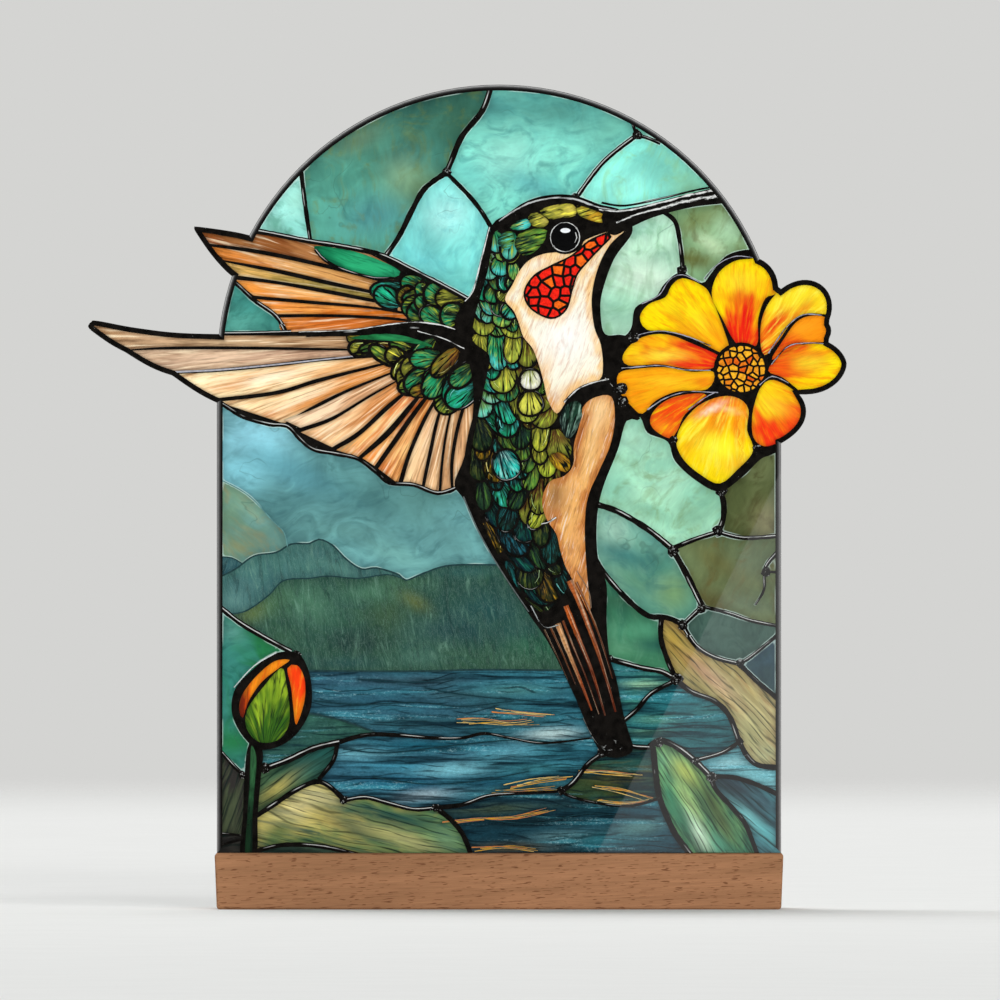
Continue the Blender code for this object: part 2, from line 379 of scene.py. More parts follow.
def leads():
    """The lead lines between the panes, and the solder where they meet."""
    for width, shine, points in (
        (1.4, 0.4, [(-53.5, 185), (-52, 173), (-50.5, 163)]),
        (1.8, 0.3, [(-2, 207), (-4.5, 200), (-10, 193), (-13, 186), (-14.2, 183.3)]),
        (1.7, 0.3, [(-14.2, 183.3), (-20, 179), (-23.5, 173), (-27, 166), (-31.5, 159.5)]),
        (1.4, 0.3, [(-14.2, 183.3), (-8, 177), (-4.5, 172.5), (-1.8, 168)]),
        (1.5, 1.0, [(20.3, 175.8), (28, 186), (37, 193.3)]),
        (1.0, 0.2, [(37, 193.3), (35.7, 197.5)]),
        (1.1, 0.6, [(37, 193.3), (39.5, 192.8), (43.5, 191.2)]),
        (1.4, 0.3, [(44.5, 172.6), (47.5, 170), (48.8, 164), (49.6, 156.5)]),
        (1.8, 0.2, [(58.8, 99), (60.4, 95), (60.4, 90), (59, 86.5)]),
        (1.4, 0.8, [(59, 86.5), (66, 84.9), (76, 85.5)]),
        (1.6, 0.5, [(59, 86.5), (53, 84.6), (46.6, 82)]),
        (1.9, 0.8, [(26, 94), (32, 92), (40, 87.3), (46.6, 82)]),
        (1.9, 0.3, [(46.6, 82), (50.3, 75.5), (54.8, 66.4)]),
        (1.5, 0.5, [(54.8, 66.4), (52, 63.8), (49.5, 61.4)]),
        (1.7, 0.2, [(26, 79), (30, 73.3), (36, 67), (40.5, 63.8), (44, 63.6), (47, 62.8), (49.5, 61.4)]),
        (1.2, 0.6, [(54.8, 66.4), (62, 64.6), (68, 62.6), (76, 61)]),
        (1.5, 0.9, [(49.5, 61.4), (53, 56), (58, 52.8), (64.7, 51)]),
        (1.2, 0.5, [(64.7, 51), (68, 53), (76, 59.5)]),
        (1.5, 0.3, [(64.7, 51), (70, 45.8), (76, 41)]),
        (1.7, 0.2, [(43.8, 63.6), (43.6, 58), (45.4, 52), (47.8, 46.6)]),
        (1.7, 0.8, [(28.5, 52.6), (38, 50), (44, 48.8), (47.8, 46.6)]),
        (1.5, 0.7, [(47.8, 46.6), (41, 43), (37, 38.5), (32.5, 34.8)]),
        (1.7, 0.5, [(47.8, 46.6), (52, 43.4), (58, 41), (62, 37), (64.8, 30), (67, 26), (70, 23.6),
         (76, 23)]),
        (1.3, 0.7, [(64.8, 30), (60, 27), (53, 25)]),
        (1.6, 0.7, [(33, 35), (33.6, 31), (36, 28.8), (41, 28.4)]),
        (2.0, 0.5, [(40.5, 28.6), (43.5, 30.3), (48, 28.5), (53, 24.6), (57, 20.6)]),
        (1.5, 0.3, [(57, 20.6), (58.5, 17), (63, 12), (66.5, 7.5), (69.8, -1)]),
        (1.9, 0.4, [(41.5, 28.6), (42.3, 21), (43.4, 14.5), (47, 6), (50.5, 1), (52, -1)]),
        (1.5, 0.6, [(57, 20.6), (63, 20.4), (69, 18.6), (76, 15.4)]),
        (1.6, 0.6, [(28.5, 27.2), (24, 24), (20, 19), (16.5, 16.6)]),
        (0.9, 0.3, [(43.4, 14.8), (36, 12.8), (28, 13.2), (20, 15), (16.5, 16.6)]),
        (1.7, 1.0, [(-76, 67), (-70, 62.2), (-63, 58), (-56, 54.2)]),
        (1.2, 0.5, [(-76, 28.6), (-71, 23), (-68.4, 20.8)]),
        (0.8, 0.9, [(-76, 5.4), (-69, 4.7)]),
        (0.8, 0.7, [(-76, 1.8), (-69, 3.8)]),
        (2.0, 0.8, [(-64, 22.4), (-57, 25), (-50, 28.2), (-43, 29.9)]),
        (1.4, 0.2, [(-43.6, 29.6), (-44.6, 25), (-48.6, 19.8)]),
        (1.6, 0.4, [(-66, 9.6), (-60, 13.5), (-55, 16.8), (-49.5, 19.2), (-46, 18.2), (-41.6, 14.2)]),
        (1.4, 0.7, [(-41.6, 14.2), (-36, 15), (-30, 13.5), (-23, 11.8), (-17, 12.2)]),
        (1.6, 0.3, [(-17, 12.2), (-12.5, 8.5), (-9.5, 4.5), (-7.4, -1)]),
        (1.4, 0.4, [(-66, 0.4), (-58, 2.2), (-48, 1.8), (-38, -0.4)]),
    ):
        line(points, width * 0.86, shine=shine)
    points = [
        (-43, 29.9), (-36, 31.8), (-28, 31.8), (-18, 31), (-10, 31), (-4, 32.2), (3, 31), (12, 29.6),
        (25, 31),
    ]
    line(points, 1.3, 0.5)
    line([(-17, 12.2), (-10, 13), (-3, 15.4), (4, 16), (16.5, 16.6)], 1.3, 0.7)
    line([(76, 82), (71.8, 77), (71.4, 71), (69, 66.8)], 1.3, 0.5)
    line([(76, 75.6), (71.6, 75.8)], 0.9, 0.6)
    for x, h, radius in (
        (-14.2, 183.4, 1.5), (-50.6, 164.4, 1.3), (-31, 160.4, 1.3), (37.4, 193.4, 1.5),
         (20.6, 176.4, 1.4),
        (49.4, 157, 1.5), (60, 97.6, 1.7), (59, 86.8, 1.6), (46.8, 81.4, 1.6), (54.6, 66, 1.3),
         (49.6, 61.2, 1.6),
        (65, 51.2, 1.3), (47.8, 46.9, 1.8), (33, 35.4, 1.3), (64.8, 30, 1.2), (53, 24.9, 1.1),
         (57.4, 20.4, 1.5),
        (28, 27.4, 1.6), (16.8, 16.8, 1.3), (43, 29.8, 1.6), (-54.6, 53.4, 1.5), (-63, 22.8, 1.5),
         (-41.8, 14.2, 1.2),
        (-17.2, 12.2, 1.2), (-69, 21, 1.2), (29.4, 52.4, 1.3), (72, 75.8, 1.4),
    ):
        solder(x, h, radius)


def glints():
    """Threads of gold on the water, each a few strands side by side."""
    for points, spread in (
        ([(-10, 35.4), (-4, 35.6), (3, 34.8), (9, 35.2)], 1.0),
        ([(-1, 38.2), (6, 37.4), (13, 37)], 0.7),
        ([(3, 17.6), (10, 19), (18, 20)], 0.9),
        ([(0, 16.6), (8, 16.9), (16, 17.6)], 0.7),
        ([(23, 22), (30, 21.4), (37, 20.8)], 0.8),
        ([(27, 18), (34, 16.8), (41, 14.8)], 0.6),
        ([(26, 13.8), (33, 13.2), (40, 14.2)], 0.4),
        ([(-14, 8.2), (-5, 9.2), (4, 9.6), (14, 11.6)], 0.7),
        ([(-6, 1), (2, 1.6), (9, 0.9)], 0.5),
    ):
        for strand in range(5):
            rise = draw.uniform(-spread, spread)
            slip = draw.uniform(-2, 2)
            moved = [(x + slip, h + rise + draw.uniform(-0.3, 0.3)) for x, h in points]
            line(moved, draw.uniform(0.25, 0.5), 0.15, paint="glint",
                near=draw.choice((GOLD, AMBER, 0xF0C86E)))


def scales(axis, half_widths, length, width, palette, within, tilt=0.0, outline=0.5):
    """Rows of overlapping feathers along an axis, laid from its far end back, so that each row covers the
    roots of the row before it. The palette gives the colours for a place on the body."""
    run = smooth_line(axis, step=ROW_STEP * length)
    last = len(run) - 1
    for row in range(last, -1, -1):
        x, h = run[row]
        x0, h0 = run[max(0, row - 1)]
        x1, h1 = run[min(last, row + 1)]
        size = math.dist((x0, h0), (x1, h1))
        down = Vector(((x1 - x0) / size, (h1 - h0) / size))
        side = Vector((-down.y, down.x))
        share = row / last * (len(half_widths) - 1)
        low = min(int(share), len(half_widths) - 2)
        half = half_widths[low] + (half_widths[low + 1] - half_widths[low]) * (share - low)
        count = max(1, round(2 * half / width))
        for k in range(count):
            offset = (k + 0.5 + (0.25 if row % 2 else -0.25)) / count * 2 - 1
            place = Vector((x, h)) + side * offset * half + down * draw.uniform(-0.5, 0.5)
            turn = math.radians(tilt + draw.uniform(-26, 26)) - 0.35 * offset
            cos, sin = math.cos(turn), math.sin(turn)
            along = Vector((down.x * cos - down.y * sin, down.x * sin + down.y * cos))
            across = Vector((-along.y, along.x))
            long = length * draw.uniform(0.8, 1.3)
            wide = width * draw.uniform(0.85, 1.5) / 2
            shape = [(-0.25, -0.45), (-0.1, -0.8), (0.45, -1.0), (0.85, -0.7), (1.0, 0.0)]
            shape += [(a, -c) for a, c in reversed(shape[:-1])]
            points = [tuple(place + along * a * long + across * c * wide) for a, c in shape]
            near, far, accent = palette(place.x, place.y)
            root = tuple(place - along * 0.4 * long)
            heading = math.degrees(math.atan2(along.y, along.x))
            body = fill("scale", points, near, far, accent, grain=("rays", root, heading), within=within)
            layers[body]["seed"] = draw.random()
            edge = smooth_line(points)
            line(edge, outline * draw.uniform(0.8, 1.5), shine=0.0, within=within, smooth=False)
            if draw.random() < GLINT_SHARE:
                side_sign = draw.choice((-1, -1, 1))
                glint = [(0.3, 0.74), (0.62, 0.6), (0.8, 0.25)]
                arc = [tuple(place + along * a * long + across * side_sign * c * wide) for a, c in glint]
                light = between(accent, 0xC8FAF0, 0.4)
                gleam(arc, 0.4, 0.15, near=light, within=within)


def single_feather(place, angle, long, wide, near, far, accent, within):
    """One rounded feather of the body, larger or brighter than the others. The place is its middle."""
    turn = math.radians(angle)
    along = Vector((math.cos(turn), math.sin(turn)))
    across = Vector((-along.y, along.x))
    shape = [(-0.5, -0.2), (-0.3, -0.42), (0.1, -0.5), (0.4, -0.34), (0.5, 0.0)]
    shape += [(a, -c) for a, c in reversed(shape[:-1])]
    points = [tuple(Vector(place) + along * a * long + across * c * wide) for a, c in shape]
    root = tuple(Vector(place) - along * 0.7 * long)
    fill("scale", points, near, far, accent, grain=("rays", root, angle), within=within)
    edge = smooth_line(points, closed=True)
    line(edge + edge[:1], 0.7, shine=0.2, within=within, smooth=False)


def plumage_colours(x, h):
    """Nape and back green, the flank olive and gold, and the rump almost black."""
    bright = [
        (EMERALD, TURQUOISE, LIME), (DARK_GREEN, 0x28B886, TURQUOISE), (OLIVE, 0xB0C44C, LEMON),
        (EMERALD, 0x88C860, LEMON), (LEAF_GREEN, 0x6EE0C4, 0xD6FFF0), (DARK_GREEN, EMERALD, LIME),
    ]
    flank = [(OLIVE, LIME, LEMON), (UMBER, OLIVE, LIME), (DARK_GREEN, LEAF_GREEN, LIME)]
    shade = [
        (NIGHT, 0x182C24, 0x288282), (NIGHT, 0x122C34, 0x1E6E5A), (NIGHT, 0x3E3C18, GOLD),
        (NIGHT, DARK_GREEN, 0x466E32), (NIGHT, NIGHT, 0x3296AA), (NIGHT, 0x1E321E, 0x6E7832),
    ]
    middle = [
        (NIGHT, EMERALD, TURQUOISE), (DARK_GREEN, LEAF_GREEN, LIME), (NIGHT, DARK_GREEN, TURQUOISE),
        (UMBER, OLIVE, GOLD), (NIGHT, DARK_GREEN, LEAF_GREEN),
    ]
    if h < 94 or (x < 0 and h < 116):
        return draw.choice(shade)
    if x > 6 and h < 142:
        return draw.choice(flank)
    return draw.choice(middle if h < 120 else bright)


def covert_colours(x, h):
    greens = [(DARK_GREEN, EMERALD, LIME), (DARK_GREEN, 0x1EAC7A, TURQUOISE), (NIGHT, EMERALD, LIME)]
    golds = [(DARK_GREEN, LEAF_GREEN, LEMON), (NIGHT, OLIVE, LEMON), (UMBER, OLIVE, GOLD)]
    return draw.choice(greens * 3 + golds if h > 143 else greens + golds * 2)


def upper_wing():
    outline = [
        (-8.5, 149.2), (-15, 152.8), (-24, 157.4), (-32, 161.2), (-42, 163.4), (-52, 165), (-62, 167),
        (-70, 168.2), (-84, 170), (-82, 164), (-77, 158), (-71, 153.6), (-66, 149), (-60, 144.6),
        (-57, 139.4), (-40, 138), (-9, 139),
    ]
    shape = black(outline)
    feathers = [
        ([(-86, 172), (-60, 166.4), (-40, 163), (-29, 158)],
         [(-84, 165), (-65, 162.8), (-46, 158.8), (-28, 154.4)], 0xC68C56, 0x7C4824, RUST),
        ([(-84, 164), (-65, 161.2), (-46, 157.2), (-28, 152.6)],
         [(-78, 160.6), (-60, 157.6), (-45, 154.2), (-27, 150.2)], 0xD69E5C, 0xCE7C34, 0x965422),
        ([(-76, 159.4), (-60, 156), (-45, 152.6), (-27, 149)],
         [(-72, 156), (-60, 154.4), (-45, 151.8), (-26, 147.9)], 0xA89248, 0xDEB268, 0x786028),
        ([(-71, 154.2), (-60, 153), (-45, 150.2), (-26, 146.6)],
         [(-66, 150.4), (-50, 149), (-35, 147.6), (-25, 146)], 0xE2A060, 0xE08C3A, 0xF6D6A0),
        ([(-66, 149), (-50, 147.6), (-35, 146.4), (-24, 144.6)],
         [(-60, 145.4), (-45, 145.4), (-30, 144.7), (-22, 143.6)], 0xD67424, 0xEC9E4C, 0xB45418),
        ([(-60, 144), (-45, 144.1), (-30, 143.4), (-22, 142.6)],
         [(-58, 139), (-50, 139.6), (-40, 140), (-22, 141.4)], 0xC66622, 0xE2883C, 0x964818),
    ]
    wing_feathers(feathers, shape, (-6, 146))
    points = [
        (-49.8, 163.4), (-44, 163), (-38, 161.8), (-31, 159.2), (-26.6, 156.6), (-28.5, 155),
        (-34, 155.4), (-42, 157.6), (-47, 160),
    ]
    fill("covert", points, 0x14784E, 0x2CAC74, 0x0C4E38, grain=("straight", -18), within=shape)
    points = [(-49.5, 162.6), (-47, 159.8), (-42, 157.2), (-34, 155), (-28, 154.8), (-22, 153)]
    line(points, 0.9, 0.6, shine=0.8, within=shape)
    scales([(-16, 148), (-22, 149.5), (-27, 151)], [6.2, 5.2, 3.6], 6.4, 4.4, covert_colours, shape,
        outline=0.6)
    scales([(-10, 146), (-14, 147)], [5.4, 5.8], 6.4, 4.8, covert_colours, shape, outline=0.6)
    line(outline[:9], 1.5, 1.4, shine=1.0)
    line(outline[8:15], 1.3, 1.2, shine=0.5)


def wing_feathers(feathers, shape, root):
    """The long feathers, each between its upper and its lower edge."""
    for upper, lower, near, far, accent in feathers:
        outline = smooth_line(upper) + smooth_line(lower)[::-1]
        grain = ("rays", root, 180)
        number = fill("feather", outline, near, far, accent, grain, within=shape, smooth=False,
            grow=GROWN)
        layers[number]["seed"] = draw.random()


def lower_wing():
    outline = [
        (-7, 138), (-14, 141.4), (-22, 143), (-30, 142.6), (-40, 141), (-56, 140.4), (-70, 140),
        (-83, 140.2), (-97, 141.6), (-113, 145), (-113, 139), (-101, 134), (-94, 130.4), (-88, 128.4),
        (-82, 124), (-75, 121.2), (-69, 117.6), (-62, 115.6), (-57, 115), (-53.6, 111.6), (-50, 108.8),
        (-44, 107.6), (-38, 106.2), (-33, 102.6), (-29.5, 99.8), (-23, 99.2), (-16.5, 97), (-11, 98.6),
        (-6, 112), (-4, 130),
    ]
    shape = black(outline)
    feathers = [
        ([(-113, 146), (-97, 141.4), (-80, 139.5), (-60, 139.1), (-38, 138.9)],
         [(-104, 135.4), (-90, 136.6), (-70, 136.7), (-52, 136.4), (-36, 136)], 0xB08A64, 0xC4A07C,
         0x704A2C),
        ([(-101, 135), (-90, 135.4), (-70, 135.4), (-52, 135.2), (-34, 135)],
         [(-88, 130), (-75, 130.8), (-60, 132.2), (-48, 133.6), (-32, 134.4)], 0xC49E82, 0xCEB092,
         0x967054),
        ([(-88, 128.8), (-75, 129.4), (-60, 130.8), (-48, 132.2), (-31, 133.4)],
         [(-76, 122.8), (-60, 124.8), (-48, 128.3), (-30, 132.6)], 0xE8B074, 0xFCE8BA, 0xCC8C54),
        ([(-75, 121.4), (-60, 123.2), (-48, 126.7), (-28, 132)],
         [(-58, 116), (-50, 120.8), (-40, 125.6), (-26, 131)], 0xDA8C42, 0xF6D8A8, 0xBC7A42),
        ([(-57.5, 116.6), (-50, 119.3), (-40, 124.2), (-26, 130)],
         [(-53.5, 114.8), (-45, 117.8), (-35, 123.6), (-24, 129.6)], 0xD4A074, 0xEECEAA, 0xB27C54),
        ([(-53, 113.3), (-45, 116.2), (-35, 122.3), (-23.5, 129)],
         [(-45, 109.6), (-38, 113.9), (-30, 121.2), (-21.5, 127.6)], 0xCE8444, 0xEABE8C, 0xB06834),
        ([(-43.4, 108.6), (-37.4, 112.2), (-29.3, 119.6), (-21, 127)],
         [(-38, 107), (-30.6, 113.9), (-24.6, 120.8), (-19.5, 126.6)], 0xD46A22, 0xF4B670, 0xFCE2AA),
        ([(-36.4, 106.4), (-29.4, 112.2), (-23.4, 119.4), (-18.6, 126)],
         [(-33.6, 104.6), (-28.6, 111.8), (-22.6, 120.2), (-18, 125.6)], 0xCC601C, 0xF4AA5C, 0xFCE2AA),
        ([(-32.2, 103.6), (-27.4, 110.4), (-21.5, 118.8), (-17, 125)],
         [(-27.4, 100), (-24.7, 108.3), (-20.6, 117.4), (-16.3, 124.6)], 0xCE7024, 0xF6C480, 0xA84E1A),
        ([(-25.6, 100), (-23.3, 107.6), (-19.3, 116.7), (-15, 124.4)],
         [(-21.2, 98.4), (-19.2, 108.3), (-17.1, 117.4), (-14.4, 124)], 0xE0B284, 0xF4CE9C, 0xB07A4E),
        ([(-19.9, 98), (-17.8, 107.8), (-15.9, 116.7), (-13.4, 124)],
         [(-16.6, 97), (-15.6, 108), (-14, 117), (-12.3, 123.8)], 0xD6A474, 0xE2B686, 0xA06E48),
        ([(-15.4, 97), (-14.4, 108), (-12.9, 116.8), (-11, 123.4)],
         [(-13.2, 98), (-13.4, 105), (-12, 114), (-9.6, 122.4)], 0xD6A270, 0xDEAE7E, 0x966442),
        ([(-12, 98.6), (-12, 105), (-10.6, 113.6), (-8.4, 121.6)],
         [(-10, 101), (-9.4, 108), (-8, 115), (-6, 121)], 0xCC9868, 0xD6A678, 0x8C5C3C),
    ]
    wing_feathers(feathers, shape, (-9, 139))
    points = [(-87.5, 129.6), (-75, 130.2), (-60, 131.6), (-48, 132.9), (-36, 134.2)]
    hairline(points, 0.5, 0.3, near=0xAAAAB2)
    scales([(-26, 134), (-32, 136), (-37, 137)], [3.4, 2.4, 1.6], 5.2, 3.2, covert_colours, shape,
        outline=0.6)
    scales([(-16, 132.5), (-20, 130), (-22, 128.6)], [6.5, 6.2, 5.8], 6.2, 4.4, covert_colours, shape,
        outline=0.6, tilt=-8)
    scales([(-9, 131.5), (-12, 128), (-13, 125.6)], [6, 6.4, 6], 6.6, 5.0, covert_colours, shape,
        outline=0.6, tilt=8)
    points = [
        (-40, 138.7), (-34, 139.8), (-27, 139.6), (-20, 137.6), (-18, 136.4), (-25, 137.6), (-33, 138.2),
    ]
    fill("covert", points, 0x1E6E3C, 0x36A864, 0x103C2C, grain=("straight", -6), within=shape)
    top = [(-10, 138.4), (-16, 140.4), (-23, 141.2), (-31, 140.9), (-40, 140.2), (-52, 139.8)]
    line(top, 2.6, 1.5, shine=0.2)
    gleam([(-9.5, 140.4), (-16, 142.3), (-23, 143), (-31, 142.2), (-40, 140.9), (-54, 140.4)], 0.5, 0.3)
    gleam([(-4, 134.8), (-9, 135.8), (-15, 138.6), (-22, 140.6)], 0.45, 0.3)
    line(outline[5:9], 1.1, 1.2, shine=0.9)
    line(outline[11:28], 1.3, 1.2, shine=0.6)


def bird():
    """The body over the wings: its black shape, its plumage, the pale breast, the head and the tail."""
    outline = [
        (33, 173), (27, 174.8), (20, 177.2), (13, 177.2), (7, 175.4), (2, 172), (-1.8, 169.3),
        (-4.3, 161), (-6.6, 152), (-9.8, 148), (-12, 142), (-9, 135), (-7, 126), (-7.4, 115), (-9.6, 106),
        (-12, 99.4), (-9.4, 95), (-5, 85.4), (1, 75), (8, 64.4), (13.4, 56.4), (20, 43), (26.4, 28.6),
        (31, 25.6), (36, 27.6), (34.8, 33), (33.4, 38), (31.6, 47), (29.8, 53), (29, 62), (29, 72),
        (27, 78), (26.3, 84), (26.6, 92), (28.2, 99), (32, 108.6), (34.4, 116.4), (38, 117), (34, 124),
        (33, 132), (36.6, 138), (33, 139.6), (28.6, 139.8), (27.4, 145), (27.8, 151), (31, 160),
        (36, 167.6),
    ]
    black(outline)
    gleam([(-2.6, 168.6), (-4.6, 160.6), (-7, 151.4), (-9.2, 148.6)], 0.55, 0.4)
    points = [(0, 170.2), (4, 173), (9, 175.4), (14, 176.4), (20, 176.2), (27, 173.9), (32, 173)]
    gleam(points, 0.5, 0.7, near=0xBEC2C2)
    hairline([(-9.6, 96), (-5.4, 86.4), (0.6, 76), (8, 65)], 0.4, 0.3, near=0x5A6464)
    plumage = [
        (-1, 167.4), (3, 168), (8, 161), (4, 154), (1.4, 149), (4, 145), (6.4, 139), (10, 134),
        (12.6, 126), (13.6, 121), (16, 118), (19, 112), (20, 105.6), (18, 101.6), (13.6, 99), (12.4, 92),
        (16, 86), (17.6, 79), (18.4, 72), (15, 67), (11, 65), (6, 70), (0.6, 79), (-4.4, 89), (-7.6, 98),
        (-7.4, 108), (-5.6, 118), (-3.4, 128), (-2.6, 134), (-7, 138), (-6.6, 144), (-5, 150), (-3, 157),
        (-2, 163),
    ]
    shape = black(plumage)
    axis = [
        (-0.6, 148), (0.6, 139), (3.4, 128), (4.4, 116), (5, 104), (4.4, 94), (7, 84), (11, 74),
        (13.6, 66),
    ]
    scales(axis, [5.6, 7, 9.6, 11, 12.4, 10.4, 9.4, 7.6, 4.4], 7.2, 5.2, plumage_colours, shape)
    scales([(2.2, 166), (0.8, 156), (-1.4, 147)], [4.4, 5.2, 6.0], 4.8, 3.8, plumage_colours, shape,
        outline=0.6)
    for place, angle, long, wide, near, far, accent in (
        ((2, 104.5), -70, 8.2, 7.6, 0x103C42, 0x28BEB0, 0xBEFFF6),
        ((8.5, 121), -84, 6.6, 7.0, 0x545822, 0xCED054, LEMON),
        ((8.5, 127.4), -88, 5.6, 6.0, 0xAAB45A, 0xFFFFE2, 0xFFFFFF),
    ):
        single_feather(place, angle, long, wide, near, far, accent, shape)
    belly()
    breast()
    head()
    tail()


def belly():
    outline = [
        (22.6, 120), (25.5, 122.6), (30.2, 123), (31.2, 117), (30, 110), (27, 103), (24, 96), (23.1, 88),
        (23.5, 78), (24.2, 70), (24.5, 64.6), (22, 69), (19.6, 74), (17.8, 77.4), (16.4, 82), (15.4, 86),
        (12.8, 90), (11.6, 95), (13.6, 100), (17.6, 101.6), (20, 104.6), (20.2, 110), (21.6, 115),
    ]
    fill("down", outline, 0xF4B86C, 0xCE8442, 0x8C4C24, grain=("straight", 74))
    gleam([(11.4, 88.6), (13, 89), (15.4, 90.4)], 0.4, 0.6)
    hairline([(20.6, 104), (21.4, 111), (24, 118)], 0.3, 0.2, near=0x965428)
    points = [
        (16.8, 114), (16.4, 117.4), (18.6, 121), (21.6, 121.6), (22.4, 118), (20.6, 113.4), (18.6, 111.6),
    ]
    fill("scale", points, NIGHT, DARK_GREEN, 0x96BEAA, grain=("rays", (17, 108), 78))
    points = [(13.4, 106.6), (15, 104), (18, 102.6), (19.2, 104.2), (18.4, 107), (15.6, 108)]
    fill("scale", points, UMBER, GOLD, YELLOW, grain=("rays", (13, 110), -50))


def breast():
    outline = [
        (29.4, 167.4), (23.4, 165.2), (21, 163), (17, 162), (12, 161.4), (8, 159.6), (5.4, 156.6),
        (3.6, 153), (1.6, 149.2), (4, 146), (5.4, 142.6), (6.6, 139), (9, 136), (10.6, 132), (12, 127),
        (13.2, 122), (15.6, 118.4), (18.4, 122), (22, 125.4), (27, 127.4), (28, 131), (27.4, 137),
        (25.6, 142), (25, 150), (26.8, 158), (30, 164), (34, 168),
    ]
    fill("down", outline, 0xFFFBE4, 0xFAD496, 0xC8783C, grain=("straight", 68))
    gleam([(17.6, 121.4), (21, 124.8), (25, 126.6), (29.6, 127.6)], 0.7, 0.5)
    gleam([(28.6, 128), (30.4, 126), (31.6, 124.4)], 0.4, 0.3)
    gorget = [
        (29.6, 167.4), (24, 165), (19.6, 161.2), (14, 158.4), (9.2, 155.6), (6.6, 151), (8.4, 146.6),
        (14, 143.8), (18.2, 146.2), (20, 152), (21.4, 156), (24.4, 159.6), (27.8, 163.2), (30.4, 166),
    ]
    fill("gorget", gorget, 0xF02618, 0xFC6E1C, LEAD)


def head():
    """The crown, the cheek, the eye and the beak."""
    for points, near, far, accent in (
        ([(3, 168.4), (5.6, 170.6), (7.6, 170.8), (8.6, 169), (6, 167.8)], EMERALD, TURQUOISE, LEMON),
        ([(7.8, 171.4), (10.2, 172.6), (13.4, 170.2), (12, 168.6), (9, 169)], OLIVE, 0xD8CC60, LEMON),
        ([(11, 173), (15, 174.6), (20, 174.7), (20.6, 171.8), (16, 171), (13.6, 170.8)], OLIVE, 0xCEBE54,
         LEMON),
        ([(21, 174.4), (25, 173.4), (29.6, 171.2), (27.6, 169.8), (23.6, 170.8), (21.4, 172)], OLIVE,
         GOLD, LEMON),
        ([(-0.4, 164.4), (1, 167), (3.4, 167.4), (4, 164.6), (2, 162.4)], DARK_GREEN, LEAF_GREEN,
         TURQUOISE),
        ([(4.2, 163.6), (5.4, 166.8), (9.6, 168.2), (13, 167.6), (12, 164.6), (9.4, 161.8), (6.4, 161)],
         DARK_GREEN, LEAF_GREEN, LIME),
    ):
        fill("scale", points, near, far, accent, grain=("straight", 18))
    eye = (17.8, 165.9)
    black(circle(*eye, 5.2, 4.6), smooth=False)
    ring = circle(*eye, 3.95)
    gleam(ring + ring[:1], 0.35, smooth=False)
    fill("eye", circle(*eye, 3.7), 0x0A0A0B, smooth=False)
    fill("bright_shape", circle(17.9, 167.7, 1.35, 0.65), 0xECF0F4, smooth=False)
    gleam([(20.6, 167.2), (21, 165.8), (20.4, 164.4)], 0.35, 0.2)
    beak = [
        (28, 172.4), (34, 173.6), (42, 175), (52, 177.8), (64, 180), (64, 175.8), (52, 174), (42, 171.4),
        (36, 168.8), (31, 166.4), (28.4, 168.6),
    ]
    black(beak)
    gleam([(27, 173.4), (33, 172.9), (42, 174.8), (52, 177.4), (62, 179)], 0.7, 0.9)
    gleam([(31.6, 169.8), (36, 171.6), (42, 173.3), (52, 175.9), (62, 177.6)], 0.5, 1.5)
    line([(27.6, 175.2), (34, 174.4), (44, 176.4), (54, 178.8), (62, 180)], 0.6, 0.5)


def tail():
    """The long tail feathers, tan and rust between black."""
    stripes = [
        ([(19, 73.4), (22, 66.6), (26, 56), (29, 46.6), (31.4, 38)], 1.7, 0.5, 0xCE7038, 0x782A14),
        ([(20.8, 73), (24, 66), (27.6, 57), (30.6, 47)], 0.8, 0.3, 0xA05428, 0x501E12),
        ([(18, 66.6), (21, 59), (25, 49), (28.6, 37)], 1.5, 0.4, 0xD66A2C, 0x682412),
        ([(17.2, 62.6), (20, 55.6), (23.8, 46.4), (27, 37.4)], 0.6, 0.3, 0x96502C, 0x5A2212),
        ([(15.8, 61.8), (18.8, 54), (22.2, 45.6), (25, 38.4)], 1.6, 0.4, 0xE2A46C, 0xB04A18),
        ([(13.8, 61), (17, 54), (20.6, 45.4)], 0.6, 0.3, 0x824C2C, 0x461E14),
        ([(12.2, 60.2), (15.4, 53.6), (18.6, 46.6)], 0.4, 0.2, 0x5C3C28, 0x321A12),
    ]
    for points, width, end_width, near, far in stripes:
        shaft = line(points, width, end_width, paint="feather", near=near)
        layers[shaft]["far"] = far
        layers[shaft]["accent"] = 0x5A2816
        layers[shaft]["seed"] = draw.random()
    gleam([(8.6, 66.6), (12, 61), (16, 61.4)], 0.4, 0.3, near=0xAAB0B0)
    hairline([(24.8, 66), (24.2, 70.4), (21, 76)], 0.3, 0.2, near=0x786454)
    gleam([(22.6, 36.4), (25.6, 30.6), (28.6, 27.6)], 0.3, 0.2, near=0x828886)
    for x, h in ((28, 29), (30, 27.4), (33.4, 28.2), (31.6, 30)):
        solder(x, h, 0.8)


